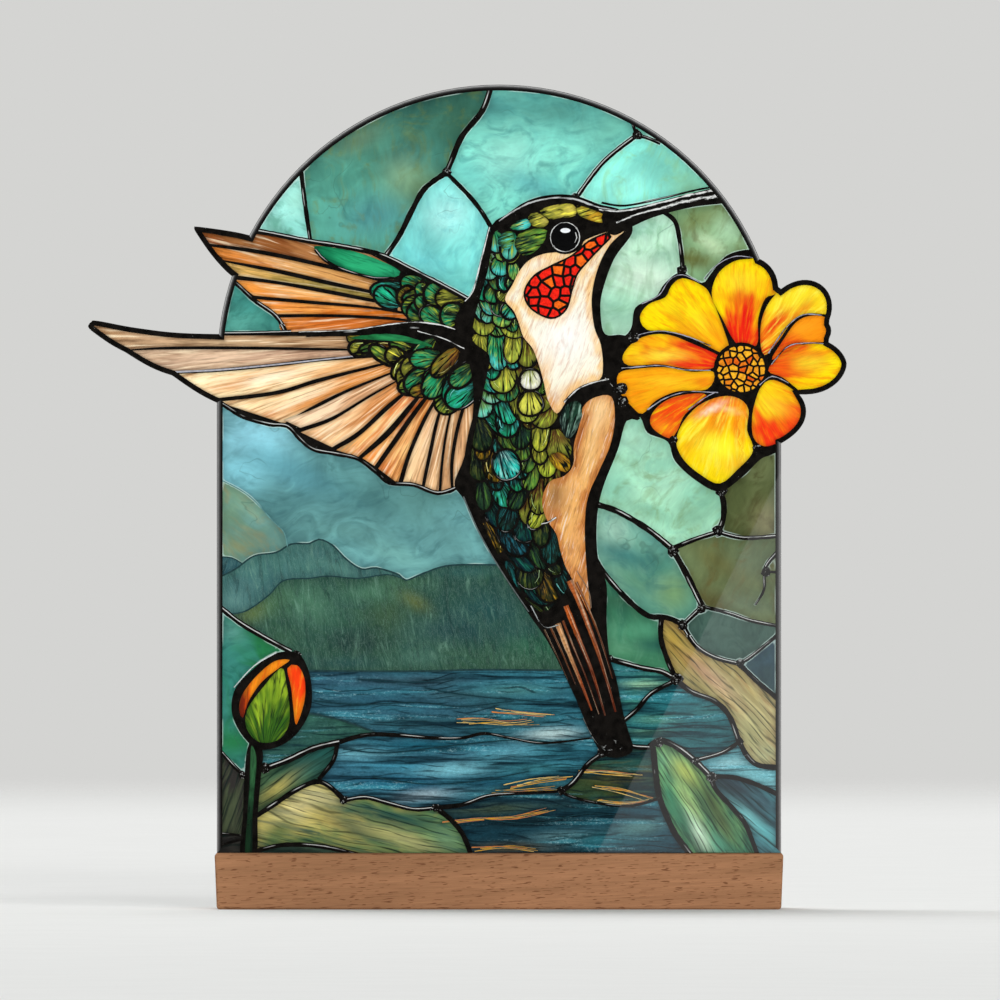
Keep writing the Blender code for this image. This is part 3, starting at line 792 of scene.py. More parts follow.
def flower():
    heart = (65.2, 130.4)
    outline = [
        (30.6, 128), (31, 136), (35.4, 141), (36.8, 147), (42, 149.6), (44.6, 153.4), (49, 156.4),
        (54.6, 153.6), (57, 156), (61.4, 161), (68, 162.6), (73, 161), (77, 152.6), (86, 157), (93, 151),
        (92, 141), (97, 133), (91, 123), (84, 121), (85, 113), (74, 107.6), (70.4, 106), (65.4, 101.2),
        (59.4, 97.4), (53, 100.4), (47.4, 105.6), (45.4, 110.8), (40, 113.2), (38, 117.4), (33.8, 119),
        (31, 123),
    ]
    black(outline)
    for points, near, far, accent in (
        ([(61.6, 137), (57, 149.6), (54.4, 152.8), (49.4, 154.6), (46.6, 152.6), (45, 149.6),
         (40.4, 147.6), (38.2, 144.4), (40, 141.2), (46, 140.8), (53, 138.4), (60.6, 134.8)], 0xFAB014,
         YELLOW, ORANGE),
        ([(59.6, 133.2), (52, 137), (46, 139.3), (41, 139.4), (36.6, 137.6), (33.6, 134), (35, 131.6),
         (43, 131.9), (50, 130.8), (56, 130.4)], RED, 0xFFCE14, ORANGE),
        ([(57.6, 129.4), (52, 129.4), (45, 130.6), (37, 130.2), (32.4, 129), (32.6, 124.6), (36, 120.4),
         (38.6, 118.6), (42, 122), (48, 124.6), (56, 125.2)], 0xFFBE14, 0xFAA814, ORANGE),
        ([(55.6, 123.2), (49.6, 123.2), (44.6, 121.4), (41.2, 117.8), (41.6, 114.6), (45.8, 112),
         (47.8, 113.8), (50, 118.4)], 0xEE5416, 0xF46018, YELLOW),
        ([(60, 122.8), (64.6, 122.2), (67, 119.4), (66.6, 114), (68.2, 108.4), (64, 103.4), (59.4, 99.8),
         (54.6, 102), (50, 106), (48, 110.6), (49.6, 115.6), (54, 120.4)], 0xFA9614, YELLOW, LEMON),
        ([(69.2, 121.4), (71, 125.8), (74, 127.2), (79, 124.6), (83, 119.6), (81.4, 114.6), (76.4, 111.4),
         (71.6, 109.8), (68.8, 112), (68.4, 117)], 0xFFD618, 0xF03418, ORANGE),
        ([(72.8, 130), (75.6, 133.6), (80.4, 136.4), (88, 136.6), (95, 132), (89, 123.6), (83, 123.4),
         (80, 125.6), (76.4, 128.4)], 0xF04A16, YELLOW, ORANGE),
        ([(73.8, 133.2), (77, 138.4), (80, 142.6), (83.4, 144.4), (88, 144), (91, 139.6), (88, 138),
         (82.6, 137.6), (77.6, 135.4)], 0xEC5414, 0xFA9214, ORANGE),
        ([(71.6, 134.4), (70.6, 139), (71.4, 145), (74.4, 150), (80, 154), (90, 153), (91, 146),
         (88, 145.4), (83, 145.6), (79, 143.6), (75, 138)], 0xEE4616, 0xFFD81E, LEMON),
        ([(64.4, 137.2), (60.4, 144), (57.6, 150), (59, 155.6), (63, 159), (67.4, 159.8), (73, 159.6),
         (75, 151.6), (71.6, 149.6), (69.6, 144), (69.2, 137)], 0xEE1E16, YELLOW, ORANGE),
    ):
        number = fill("petal", points, near, far, accent, grain=("rays", heart, 90), grow=GROWN)
        layers[number]["seed"] = draw.random()
    black(circle(*heart, 7.4, 7.2), smooth=False)
    fill("heart", circle(*heart, 7.0, 6.8), 0xF4B028, 0xE25C14, LEAD, smooth=False)
    for points in (
        [(55.4, 154.6), (59, 158.6), (64, 160.8), (70, 160.2)],
        [(38.4, 148), (43, 150.2), (46, 154.4), (49.4, 155.8), (54, 153.8)],
        [(37, 139.4), (43, 140.6), (50, 139.4), (57, 136.6)],
        [(33, 130.6), (43, 131.3), (50, 130.2), (57, 130)],
        [(40, 119.4), (45, 122.6), (51, 124.3), (59, 124)],
        [(51, 119.4), (55, 122.4), (58, 124)],
        [(73.4, 131.6), (78, 136.6), (84, 137.4), (89, 137)],
        [(72.6, 134.6), (77.4, 141.6), (82, 145), (87, 144.8)],
        [(70.2, 126), (73.6, 128.4), (78, 126.6)],
    ):
        gleam(points, 0.4, 0.3, near=0xB0B0BE)
    solder(32.6, 125, 1.9)
    solder(33.6, 121.6, 1.6)
    solder(36.4, 139, 1.6)
    solder(47, 111.4, 1.2)
    solder(69.6, 108.8, 1.4)


def bud():
    """The bud at the lower left, on its stem."""
    points = [
        (-65.6, 32), (-63.6, 27), (-64.2, 20), (-65, 10), (-65.4, -1), (-69.6, -1), (-69, 10),
        (-68.6, 20), (-67.8, 28),
    ]
    black(points)
    points = [
        (-66.6, 29), (-65.4, 26), (-65.6, 20), (-66.4, 10), (-66.6, 0), (-68.4, 0), (-67.8, 10),
        (-67.2, 20), (-67, 26),
    ]
    fill("leaf", points, 0x1E3E28, 0x3A7046, 0x14241A, grain=("straight", 88))
    points = [
        (-61, 53.6), (-66, 49.8), (-71, 44.4), (-72, 38), (-69.4, 32), (-65, 28), (-59.6, 28.6),
        (-54.6, 32), (-51, 38), (-50.4, 44), (-51.6, 50), (-54.6, 54),
    ]
    black(points)
    petals = 0xF07816, 0xFA4214, 0xFFA028
    points = [
        (-70, 38.6), (-69.2, 42.6), (-65.6, 47.4), (-60.6, 51.6), (-56.4, 52), (-59, 50), (-63.8, 46.2),
        (-67.4, 41), (-69, 36.4),
    ]
    fill("petal", points, 0x782816, 0xFF961E, 0xFA5A14, grain=("rays", (-68, 30), 60))
    points = [
        (-57, 49.8), (-54.4, 50.6), (-52.4, 47), (-52.4, 41), (-54.6, 34.6), (-55.4, 39), (-56, 44.6),
    ]
    fill("petal", points, *petals, grain=("rays", (-56, 28), 90))
    points = [
        (-58.6, 49.8), (-63.6, 44.6), (-67.8, 38.6), (-68, 33.6), (-64.6, 29.9), (-59.6, 30.4),
        (-56.8, 34), (-56.4, 39), (-57.2, 45),
    ]
    fill("sepal", points, 0x3A681E, 0x9EBE2E, 0x1E3416, grain=("rays", (-63, 27), 82))
    hairline([(-60, 54), (-66, 50.4), (-71.4, 44.6)], 0.35, 0.25, near=0xBEC4C4)


def paint_everything():
    film = plate_outline()
    film = inset(film, [0.0 if h < FOOT_TOP else CLEAR_RIM for x, h in film])
    film = [(x, FOOT_GAP if h < FOOT_TOP else h) for x, h in film]
    background(film)
    glints()
    ridges_and_waves()
    leads()
    bud()
    upper_wing()
    lower_wing()
    bird()
    flower()
    border(film)
    painted_edge_light(film)


def border(film):
    """The black line round the print, a little narrower round the cut-out wings and flower. The foot has
    none.
    """
    widths = [CUT_OUT_BORDER if abs(x) > ARCH_HALF_WIDTH else BORDER for x, h in film]
    inner = inset(film, widths)
    faces = []
    count = len(film)
    for i in range(count):
        k = (i + 1) % count
        if max(film[i][1], film[k][1]) > FOOT_TOP:
            faces.append([film[i], film[k], inner[k], inner[i]])
    layer("lead_shape", faces, LEAD)


def plain_edge(x, h):
    """Where the outline is the plain arch: "side", "arch" or, at the cut-outs, nothing."""
    reach = abs(x) if h < ARCH_SPRING else math.hypot(x, h - ARCH_SPRING)
    if not ARCH_HALF_WIDTH - 1 < reach < ARCH_HALF_WIDTH + 0.01:
        return ""
    return "side" if h < ARCH_SPRING + 1 else "arch"


def painted_edge_light(film):
    """Painted edge light where the plate's edge is plain: the black turns to paler and paler grey towards
    it, in fine rings, standing in for light on the plate's cut edge.
    """
    count = len(film)
    for place, edge_light_greys in (("side", SIDE_EDGE_LIGHT), ("arch", ARCH_EDGE_LIGHT)):
        for step, shade in enumerate(edge_light_greys):
            outer = inset(film, [step * EDGE_LIGHT_STEP] * count)
            inner = inset(film, [(step + 1) * EDGE_LIGHT_STEP] * count)
            faces = []
            for i in range(count):
                k = (i + 1) % count
                spots = {plain_edge(*film[i]), plain_edge(*film[k])}
                if place in spots and "" not in spots and max(film[i][1], film[k][1]) > FOOT_TOP:
                    faces.append([outer[i], outer[k], inner[k], inner[i]])
            layer("edge", faces, shade)


paint_everything()


def grain_values(grain, places):
    """How far along and across its grain each place lies, in millimetres. In a line, across runs from
    -1 to 1."""
    kind = grain[0]
    if kind == "straight":
        angle = math.radians(grain[1])
        along = places @ np.array((math.cos(angle), math.sin(angle)))
        across = places @ np.array((-math.sin(angle), math.cos(angle)))
    elif kind == "rays":
        away = places - np.array(grain[1])
        along = np.hypot(away[:, 0], away[:, 1])
        turn = np.arctan2(away[:, 1], away[:, 0]) - math.radians(grain[2])
        turn = (turn + math.pi) % (2 * math.pi) - math.pi
        across = turn * max(2.0, float(along.mean()))
    else:
        middle = np.array(grain[1])
        halves = np.array(grain[2])
        starts, ends = middle[:-1], middle[1:]
        runs = ends - starts
        lengths = np.maximum(np.hypot(runs[:, 0], runs[:, 1]), 1e-6)
        before = np.concatenate(((0.0,), np.cumsum(lengths)[:-1]))
        gap = places[:, None, :] - starts[None, :, :]
        share = np.clip((gap * runs[None]).sum(2) / lengths[None] ** 2, 0, 1)
        off = gap - share[:, :, None] * runs[None]
        best = np.argmin((off**2).sum(2), axis=1)
        row = np.arange(len(places))
        share = share[row, best]
        off = off[row, best]
        along = before[best] + share * lengths[best]
        side = np.stack((-runs[best, 1], runs[best, 0]), 1) / lengths[best][:, None]
        side *= np.where(side @ np.array(LIGHT_FROM) < 0, -1.0, 1.0)[:, None]
        half = halves[best] + (halves[best + 1] - halves[best]) * share
        across = (off * side).sum(1) / half
    return along, across


def inside(outline, places):
    """Which of the places lie inside the outline."""
    found = np.zeros(len(places), bool)
    for (ax, ah), (bx, bh) in zip(outline, outline[1:] + outline[:1]):
        if ah != bh:
            between = (ah > places[:, 1]) != (bh > places[:, 1])
            found ^= between & (places[:, 0] < ax + (places[:, 1] - ah) * (bx - ax) / (bh - ah))
    return found


def covered(faces, places):
    """Which of the places, given in the order of their x, any of the faces covers."""
    found = np.zeros(len(places), bool)
    for face in faces:
        left, right = min(x for x, h in face), max(x for x, h in face)
        bottom, top = min(h for x, h in face), max(h for x, h in face)
        low, high = np.searchsorted(places[:, 0], (left, right))
        near = places[low:high]
        level = np.flatnonzero((near[:, 1] >= bottom) & (near[:, 1] <= top))
        found[low + level[inside(face, near[level])]] = True
    return found


def cut_film():
    """The film as triangles: the corners, the triangles, and the layer on top in each of them."""
    corners = []
    edges = []
    for item in layers:
        for face in item["faces"]:
            first = len(corners)
            corners += [Vector(point) for point in face]
            edges += [(first + i, first + (i + 1) % len(face)) for i in range(len(face))]
    film_outline = layers[0]["faces"][0]
    low_x = min(x for x, h in film_outline)
    rows = int(max(h for x, h in film_outline) / GRID)
    columns = int((max(x for x, h in film_outline) - low_x) / GRID)
    for row in range(rows):
        for column in range(columns):
            x = low_x + (column + 0.5 * (row % 2) + draw.uniform(0.1, 0.4)) * GRID
            corners.append(Vector((x, (row + draw.uniform(0.3, 0.7)) * GRID)))
    points, _, triangles, _, _, _ = delaunay_2d_cdt(corners, edges, [], WHOLE_AREA, MERGE)
    places = np.array([tuple(p) for p in points])
    triangles = np.array(triangles)
    centres = places[triangles].mean(1)
    order = np.argsort(centres[:, 0])
    triangles = triangles[order]
    centres = centres[order]
    tops = np.full(len(triangles), -1)
    masks = {}
    for number, item in enumerate(layers):
        mask = covered(item["faces"], centres)
        masks[number] = mask
        if item["within"] is not None:
            mask = mask & masks[item["within"]]
        tops[mask & masks[0]] = number
    kept = tops >= 0
    return places, [tuple(t) for t in triangles[kept].tolist()], tops[kept].tolist()


# Soft touches of colour over the paint: x and height, reach along and across, slant, colour and strength
SKY_TOUCHES = [
    (-20, 203, 22, 6, 12, 0x224E4A, 0.85), (-10, 196, 9, 9, 60, 0x3E664A, 0.6),
    (-30, 193, 15, 6, 12, 0x4E826A, 0.6), (-42, 182, 8, 14, 100, 0x62B49E, 0.5),
    (-24, 188, 7, 7, 0, 0x326866, 0.5), (-33, 172, 6, 10, 100, 0x4C8A94, 0.6),
    (-20, 179, 5, 10, 70, 0x7A9864, 0.7), (-26, 183, 5, 5, 0, 0x86AC8A, 0.6),
    (-38, 192, 7, 3, 30, 0x86946C, 0.4), (-54, 176, 4, 5, 0, 0xA4E4D0, 0.6),
    (-60, 168, 5, 3, 0, 0x68AA90, 0.5), (-14, 172, 7, 6, 30, 0xBEFCF8, 0.75),
    (-20, 160, 7, 4, -30, 0x68BEC4, 0.6), (-23, 168, 3, 6, 60, 0x76CECE, 0.5),
    (14, 200, 26, 5, -8, 0x46867E, 0.8), (-4, 201, 8, 4, 0, 0x346E70, 0.7),
    (2, 187, 9, 6, 20, 0xAAF6E4, 0.7), (20, 190, 10, 6, 20, 0x92EAD6, 0.5),
    (9, 180, 7, 3, -20, 0x58AAB0, 0.7), (-8, 183, 4, 8, 60, 0x60C4C0, 0.5),
    (31, 195, 8, 5, 30, 0x74BEA8, 0.6), (52, 179, 9, 5, -40, 0x88B884, 0.75),
    (35, 180, 7, 4, 30, 0x9EF4E2, 0.6), (42, 186, 8, 4, -30, 0x70C6B6, 0.5),
    (31, 147, 4, 8, 80, 0x8CC8AC, 0.7), (47, 161, 3, 8, 90, 0x84B69C, 0.7),
    (36, 168, 9, 3, 10, 0x7ABAA8, 0.7), (40, 155, 4, 9, 80, 0xE4FCE6, 0.8),
    (52, 160, 2.5, 7, 80, 0x686A32, 0.85), (55, 171, 7, 3, 20, 0x747A3E, 0.7),
    (62, 168, 5, 4, -30, 0xB2DAB4, 0.7), (57, 164, 2, 5, 60, 0xC8E2B8, 0.7),
    (66, 162, 4, 3, 0, 0x809C68, 0.6), (-70, 142, 5, 2, 0, 0x64B4A6, 0.6),
    (-62, 142, 5, 4, 0, 0x387E74, 0.6), (-66, 112, 11, 8, 0, 0x9CE0F0, 0.95),
    (-69, 103, 9, 6, 30, 0x86CEDC, 0.85), (-58, 104, 11, 4, -30, 0x68ACBA, 0.7),
    (-48, 100, 14, 3, -22, 0x5C9AA6, 0.6), (-34, 96, 16, 6, -20, 0x467674, 0.7),
    (-20, 91, 10, 4, -40, 0x609490, 0.6), (-11, 90, 4, 9, -60, 0x68A0A2, 0.6),
    (-44, 87, 14, 3, 0, 0x5E908C, 0.6), (-27, 80, 10, 3, -20, 0x7CBAB4, 0.8),
    (-17, 97, 8, 4, 0, 0x4E7C74, 0.6), (-60, 86, 8, 3, 0, 0x628C82, 0.5),
    (-70, 83, 6, 3, 0, 0x7E8E66, 0.7), (-66, 94, 5, 5, -40, 0x7CA898, 0.5),
    (36, 112, 8, 4, -20, 0xB4E6CA, 0.75), (31, 98, 5, 6, 0, 0x68AC98, 0.6),
    (46, 100, 8, 3, 20, 0xB0DCBE, 0.6), (52, 91, 6, 4, 20, 0x70A284, 0.7),
    (40, 92, 8, 2, -20, 0x68987A, 0.6), (57, 97, 3, 6, 0, 0x608E70, 0.6),
    (66, 104, 5, 3, 0, 0x647046, 0.5), (72, 89, 4, 5, 0, 0x969068, 0.6),
    (52, 80, 5, 4, -40, 0x7E9468, 0.7), (60, 78, 8, 3, -30, 0x6C642E, 0.7),
    (68, 79, 8, 6, 0, 0x64745C, 0.6), (67, 67, 9, 3, -10, 0x586C5A, 0.6),
    (57, 68, 4, 3, 0, 0x544C28, 0.7), (31, 87, 5, 5, -40, 0x9ECAB6, 0.85),
    (41, 85, 7, 2.5, -40, 0x5C9890, 0.6), (34, 80, 10, 2.8, -18, 0x347474, 0.85),
    (44, 77, 6, 3, -30, 0x4A8876, 0.6), (47, 70, 5, 5, -40, 0x84A86C, 0.85),
    (37, 73, 7, 3, -30, 0x629676, 0.7), (32, 68, 2, 7, 90, 0x346048, 0.7),
    (38, 60, 2.5, 8, 90, 0x58A27E, 0.7), (43, 56, 2, 8, 90, 0x225854, 0.7),
    (33, 55, 2, 5, 90, 0x64A67E, 0.6), (-72, 60, 3, 4, 60, 0x62988C, 0.6),
    (-72, 30, 4, 7, 90, 0x24743A, 0.85), (-73, 46, 2, 6, 90, 0x368C7C, 0.6),
]
LAND_TOUCHES = [
    (-52, 81, 7, 2.5, 0, 0x325858, 0.6), (-68, 72, 6, 4, 30, 0x487272, 0.7),
    (-72, 68, 4, 2.5, 0, 0x5E8C88, 0.7), (-44, 77, 7, 1.6, -20, 0x548278, 0.7),
    (-66, 65, 5, 2.6, 30, 0x687840, 0.85), (-60, 68, 6, 4, 40, 0x4A7250, 0.7),
    (-51, 67, 5, 6, 60, 0x528266, 0.8), (-45, 62, 7, 5, 0, 0x3C6854, 0.5),
    (-38, 57, 10, 3.6, 0, 0x203432, 0.85), (-30, 64, 6, 5, 0, 0x405836, 0.7),
    (-23, 68, 5, 2, -30, 0x626C38, 0.85), (-28, 73, 9, 1.6, 0, 0x4A7454, 0.6),
    (-35, 70, 8, 2.5, 0, 0x4C7C60, 0.7), (-20, 60, 3, 7, 90, 0x466E5C, 0.6),
    (-56, 56, 8, 3.6, 0, 0x305648, 0.6), (-42, 51, 12, 2, 0, 0x2A4E50, 0.7),
    (-12, 60, 4, 13, 90, 0x204046, 0.8), (-4, 66, 4, 9, 90, 0x265052, 0.7),
    (6, 60, 4, 10, 90, 0x2A5250, 0.6), (-8, 76, 9, 1.6, 0, 0x386864, 0.7),
    (-22, 53, 5, 3, 0, 0x487266, 0.6), (11, 56, 3, 7, 90, 0x347052, 0.6),
    (-60, 57, 6, 3, 20, 0x3C6046, 0.5),
]
WATER_TOUCHES = [
    (-40, 46, 16, 2, 0, 0x305466, 0.7), (-20, 46.5, 16, 1.6, 0, 0x3C545E, 0.7),
    (-45, 41, 9, 3, 0, 0x2A5660, 0.6), (-30, 41, 18, 2, 0, 0x2C5468, 0.7),
    (-10, 42.5, 14, 1.6, 0, 0x3C6066, 0.6), (5, 44, 10, 1.6, 0, 0x4A807A, 0.7),
    (-24, 35, 20, 1.8, 0, 0x284E52, 0.7), (0, 39.6, 12, 1.4, 0, 0x325E66, 0.6),
    (4, 36, 12, 1.2, 0, 0x1E3838, 0.6), (-38, 27, 8, 2, -4, 0x74BACA, 0.8),
    (-28, 23.6, 12, 1.6, 0, 0x48A0BC, 0.7), (-12, 22.4, 9, 2, 4, 0x86CEDC, 0.85),
    (-26, 19, 14, 2, 0, 0x186888, 0.7), (-20, 29, 16, 1.4, 0, 0x105C70, 0.75),
    (3, 27, 9, 1.8, 3, 0x6AB4C6, 0.8), (14, 32, 7, 1.5, 3, 0xC8E4E2, 0.95),
    (-20, 15.6, 8, 1.4, 6, 0xAAC4CE, 0.8), (0, 19, 12, 1.8, 0, 0x14546C, 0.7),
    (10, 23, 9, 1.2, 0, 0x40888E, 0.6), (15, 27, 8, 1.2, 0, 0x185866, 0.6),
    (-5, 33, 12, 1, 0, 0x1A363C, 0.6), (8, 17, 12, 1.6, 4, 0x3C482C, 0.6),
    (0, 12, 14, 1.4, 4, 0x4C5C42, 0.7), (-2, 5, 9, 2, 0, 0x1A4250, 0.6),
    (17, 4.6, 8, 1.4, 4, 0x689298, 0.75), (9, 8.6, 14, 1.4, 3, 0x12242A, 0.8),
    (28, 3.6, 10, 1.6, 0, 0x32828E, 0.7), (38, 7, 6, 1.8, 8, 0x70ACAA, 0.7),
    (24, 12.4, 12, 1.2, 0, 0x122C30, 0.7), (4, 1.4, 10, 1.2, 0, 0x786842, 0.5),
    (26, 24, 7, 1.8, 10, 0x265446, 0.7), (32, 20, 7, 1.6, 0, 0x685E26, 0.7),
    (36, 16, 5, 1.4, 0, 0x3C5046, 0.6), (39, 45.4, 5, 0.9, 0, 0xA4D2A8, 0.85),
    (48, 42, 7, 1.4, 0, 0x30808C, 0.7), (52, 34, 10, 1, 0, 0x1A4C54, 0.7),
    (42, 36, 6, 1.2, 0, 0x5C967C, 0.7), (56, 38, 5, 2, 0, 0x42807C, 0.5),
    (40, 32.4, 5, 1, 0, 0x7CBA9C, 0.85), (52, 29.6, 8, 1, 0, 0x24585E, 0.7),
    (62, 24, 5, 1.2, 10, 0xA0D6DC, 0.8), (70, 20.6, 6, 1.2, -10, 0x76BAC2, 0.6),
]
LEAF_TOUCHES = [
    (-54, 12, 7, 3.4, 30, 0xE2D89E, 0.85), (-59, 6, 5, 3, 30, 0x4A683C, 0.8),
    (-48, 15, 6, 2, -20, 0xDCD296, 0.85), (-46, 9, 8, 1.6, -20, 0xCEB864, 0.8),
    (-38, 6.6, 8, 2.2, -20, 0x1E4842, 0.95), (-40, 11.4, 10, 1.2, -12, 0x2C5448, 0.9),
    (-29, 9.4, 9, 1.4, -14, 0x1C4642, 0.9), (-30, 5, 9, 1.8, -15, 0xBEB874, 0.8),
    (-22, 9, 7, 1.4, -14, 0x2E544C, 0.7), (-23, 3, 8, 2, -20, 0xC8C888, 0.7),
    (-14, 4, 5, 3, -40, 0x6E9678, 0.6), (-52, 3.4, 10, 1.8, 4, 0x2C6A42, 0.8),
    (-40, 1.8, 9, 1.4, -6, 0x42764E, 0.7), (-61, 3, 3, 2.4, 0, 0x24543A, 0.6),
    (-59, 18, 6, 1.4, 35, 0xC8BA64, 0.9), (-52, 22, 6, 1.4, 30, 0x36685C, 0.7),
    (-47, 27, 4, 1.4, 20, 0x1E5C58, 0.6), (-58, 23, 6, 1, 30, 0x18342C, 0.8),
    (-62, 14, 3, 2, 40, 0x384226, 0.6), (47, 57, 5, 2.4, -65, 0x9C8430, 0.8),
    (51, 52, 6, 2.4, -50, 0xA48E40, 0.7), (56, 48.4, 8, 1.6, -40, 0xB68A6C, 0.8),
    (60, 45, 8, 2, -40, 0xB69878, 0.8), (54, 44.4, 6, 1.4, -40, 0x888A52, 0.7),
    (66, 41, 7, 2.4, -45, 0xA49E6E, 0.7), (63, 48.6, 5, 1.6, -35, 0x807446, 0.7),
    (68, 32, 6, 4, -60, 0x9CA070, 0.7), (72, 27, 3, 2.4, 0, 0xB0BA90, 0.7),
    (72, 42, 3, 2, -45, 0x80764E, 0.7), (45, 25, 2.4, 5, 90, 0x70B88E, 0.7),
    (50, 22, 5, 2, -50, 0xCEDE70, 0.9), (46, 16, 5, 2, -70, 0x368660, 0.8),
    (51, 14, 7, 1.6, -62, 0xBADE8C, 0.85), (57, 14, 7, 2.2, -58, 0x3E4C1E, 0.9),
    (60, 8, 6, 2, -58, 0x566230, 0.8), (54, 5, 6, 2, -60, 0xD4F2D6, 0.9),
    (59, 2, 4, 2, -60, 0x60B296, 0.7), (50, 8, 7, 1.4, -68, 0x186246, 0.85),
    (47, 27.6, 2, 1.4, 0, 0x426854, 0.6), (63, 17.4, 6, 1.2, -16, 0x283238, 0.85),
    (70, 13, 6, 1.2, -32, 0x36525C, 0.7), (68, 9, 7, 1.6, -42, 0x82D0D2, 0.85),
    (72, 5, 5, 1.8, -42, 0x5EB6BA, 0.8),
]
BIRD_TOUCHES = [
    (-66, 164.6, 8, 1.2, -8, 0x966032, 0.7), (-60, 159.6, 9, 0.9, -12, 0xE8B478, 0.8),
    (-66, 156, 5, 0.9, -10, 0xC49646, 0.6), (-50, 151, 10, 0.9, -6, 0xF6BE78, 0.8),
    (-60, 148, 6, 0.9, -5, 0xE07422, 0.8), (-46, 142.6, 10, 1, 0, 0xB85418, 0.6),
    (-34, 154, 6, 1, -14, 0x644222, 0.7), (-105, 140, 6, 1.6, -10, 0x966C42, 0.8),
    (-95, 137, 8, 1, -6, 0x785C42, 0.6), (-76, 137.4, 14, 0.9, 0, 0xCEB08A, 0.7),
    (-76, 133.4, 12, 1, 4, 0xE8C6A8, 0.8), (-90, 131.4, 5, 1, 4, 0x967664, 0.7),
    (-62, 128, 10, 1.2, 12, 0xFFF2D4, 0.9), (-74, 125.6, 6, 1.2, 10, 0xD89254, 0.8),
    (-52, 123, 8, 1, 22, 0xFFEAC4, 0.9), (-66, 121.4, 7, 1, 14, 0xFADAA4, 0.7),
    (-62, 118, 5, 1.2, 12, 0xC4702E, 0.9), (-47, 114.4, 6, 0.9, 26, 0xF0CEA4, 0.7),
    (-50, 111, 3, 2, 30, 0xBE7438, 0.8), (-41, 108.4, 3, 1.4, 30, 0xBE7840, 0.7),
    (-31, 103.4, 3, 2.4, 60, 0xCE641C, 0.9), (-34, 106.4, 3, 2, 50, 0xD66E22, 0.8),
    (-28, 116, 5, 1.2, 50, 0xFFE2AA, 0.8), (-27, 103, 4, 1.4, 70, 0xDE8C42, 0.7),
    (-21, 101, 4, 1.6, 85, 0xC48A56, 0.7), (-14, 101, 5, 1.6, 90, 0xBE885A, 0.7),
    (-22, 112, 6, 0.9, 74, 0xFAD8AC, 0.7), (18, 139, 8, 7, 70, 0xFFFFFA, 0.95),
    (10, 158, 5, 2, 20, 0xFFF0D4, 0.6), (12, 129, 5, 1.6, 70, 0xF0BA78, 0.7),
    (20, 125, 5, 1.8, 20, 0xEEBA7E, 0.7), (14, 121, 3, 2.4, 70, 0xD28646, 0.7),
    (30, 165.6, 3, 1.4, 50, 0xF4C896, 0.7), (27, 118, 6, 2.4, 80, 0xFCD69E, 0.85),
    (25, 108, 7, 2, 72, 0xF6C47E, 0.8), (18.4, 97, 5, 2.2, 64, 0xECB06E, 0.7),
    (14, 92, 3, 2, 30, 0xC48450, 0.7), (15.2, 96.5, 5, 2.6, 84, 0x88603A, 0.8),
    (27.5, 112, 6, 0.9, 78, 0xD68C4E, 0.6), (20, 82, 7, 1.8, 84, 0xE4A062, 0.7),
    (22.6, 72, 5, 1.4, 84, 0xC88850, 0.7), (21.6, 112, 6, 1, 84, 0xBA6A36, 0.8),
]
FLOWER_TOUCHES = [
    (58, 109, 4, 6, 70, 0xFFF63C, 0.9), (51, 108, 2.4, 5, 70, 0xFFC414, 0.7),
    (64, 105, 2.4, 5, 90, 0xFFAA14, 0.6), (59, 121, 6, 2, 8, 0xF06028, 0.7),
    (57.4, 119.6, 3.6, 0.7, 28, 0xFFECDC, 0.9), (62, 119.4, 3, 0.6, -16, 0xFFD696, 0.8),
    (63, 115, 4, 2, 0, 0xFA8C18, 0.5), (47, 119, 5, 2.4, -30, 0xF64212, 0.85),
    (44, 114.6, 3, 1.6, 0, 0xFFA01E, 0.7), (45, 127, 6, 1.4, 0, 0xFFD228, 0.8),
    (36, 123.6, 3, 2, 0, 0xFA9614, 0.6), (55, 127, 3, 1.2, 0, 0xF05A14, 0.7),
    (45, 134, 6, 1.4, 0, 0xFFE646, 0.9), (55, 134.4, 4, 1.4, -16, 0xF03214, 0.9),
    (40, 138, 5, 1.2, 0, 0xFA8214, 0.7), (46, 147, 5, 2.4, -20, 0xFFDA18, 0.85),
    (54, 143.4, 5, 1.8, -50, 0xFFE228, 0.7), (58.6, 138.4, 3, 1.6, -50, 0xFAA014, 0.7),
    (65, 154, 5, 3, 0, 0xFFE032, 0.9), (65, 140.6, 2.6, 5, 90, 0xF22C14, 0.85),
    (60, 150, 1.6, 5, 80, 0xFAA014, 0.7), (71, 153, 2, 4, 90, 0xFAAA14, 0.7),
    (80.6, 149, 6, 2.4, 24, 0xFFE632, 0.9), (73, 139, 1.6, 4, 80, 0xFA8C14, 0.7),
    (82, 141.4, 4, 1.6, 20, 0xFCA624, 0.7), (77, 137, 2, 1.6, 0, 0xF05014, 0.7),
    (84, 132, 5, 2.4, 0, 0xFFE632, 0.9), (76.4, 131, 2.6, 2, 0, 0xF25A14, 0.8),
    (74.4, 120, 2.4, 5, 70, 0xFFDC32, 0.8), (70.6, 114, 1.8, 4, 80, 0xF23214, 0.9),
    (77, 115, 4, 2, 30, 0xF44C14, 0.8),
]
TOUCHES = SKY_TOUCHES + LAND_TOUCHES + WATER_TOUCHES + LEAF_TOUCHES + BIRD_TOUCHES + FLOWER_TOUCHES
PAINTED = ("glass", "hill", "water", "leaf", "feather", "down", "petal")


def touched_regions(regions, region_of, centres):
    """Gives each soft touch of colour to the region that it starts in."""
    region_of = np.array(region_of)
    can_take = np.array([region["paint"] in PAINTED for region in regions])[region_of]
    chosen = centres[can_take]
    owners = region_of[can_take]
    for touch in TOUCHES:
        nearest = np.argmin(((chosen - np.array(touch[:2])) ** 2).sum(1))
        regions[owners[nearest]].setdefault("touches", []).append(touch)


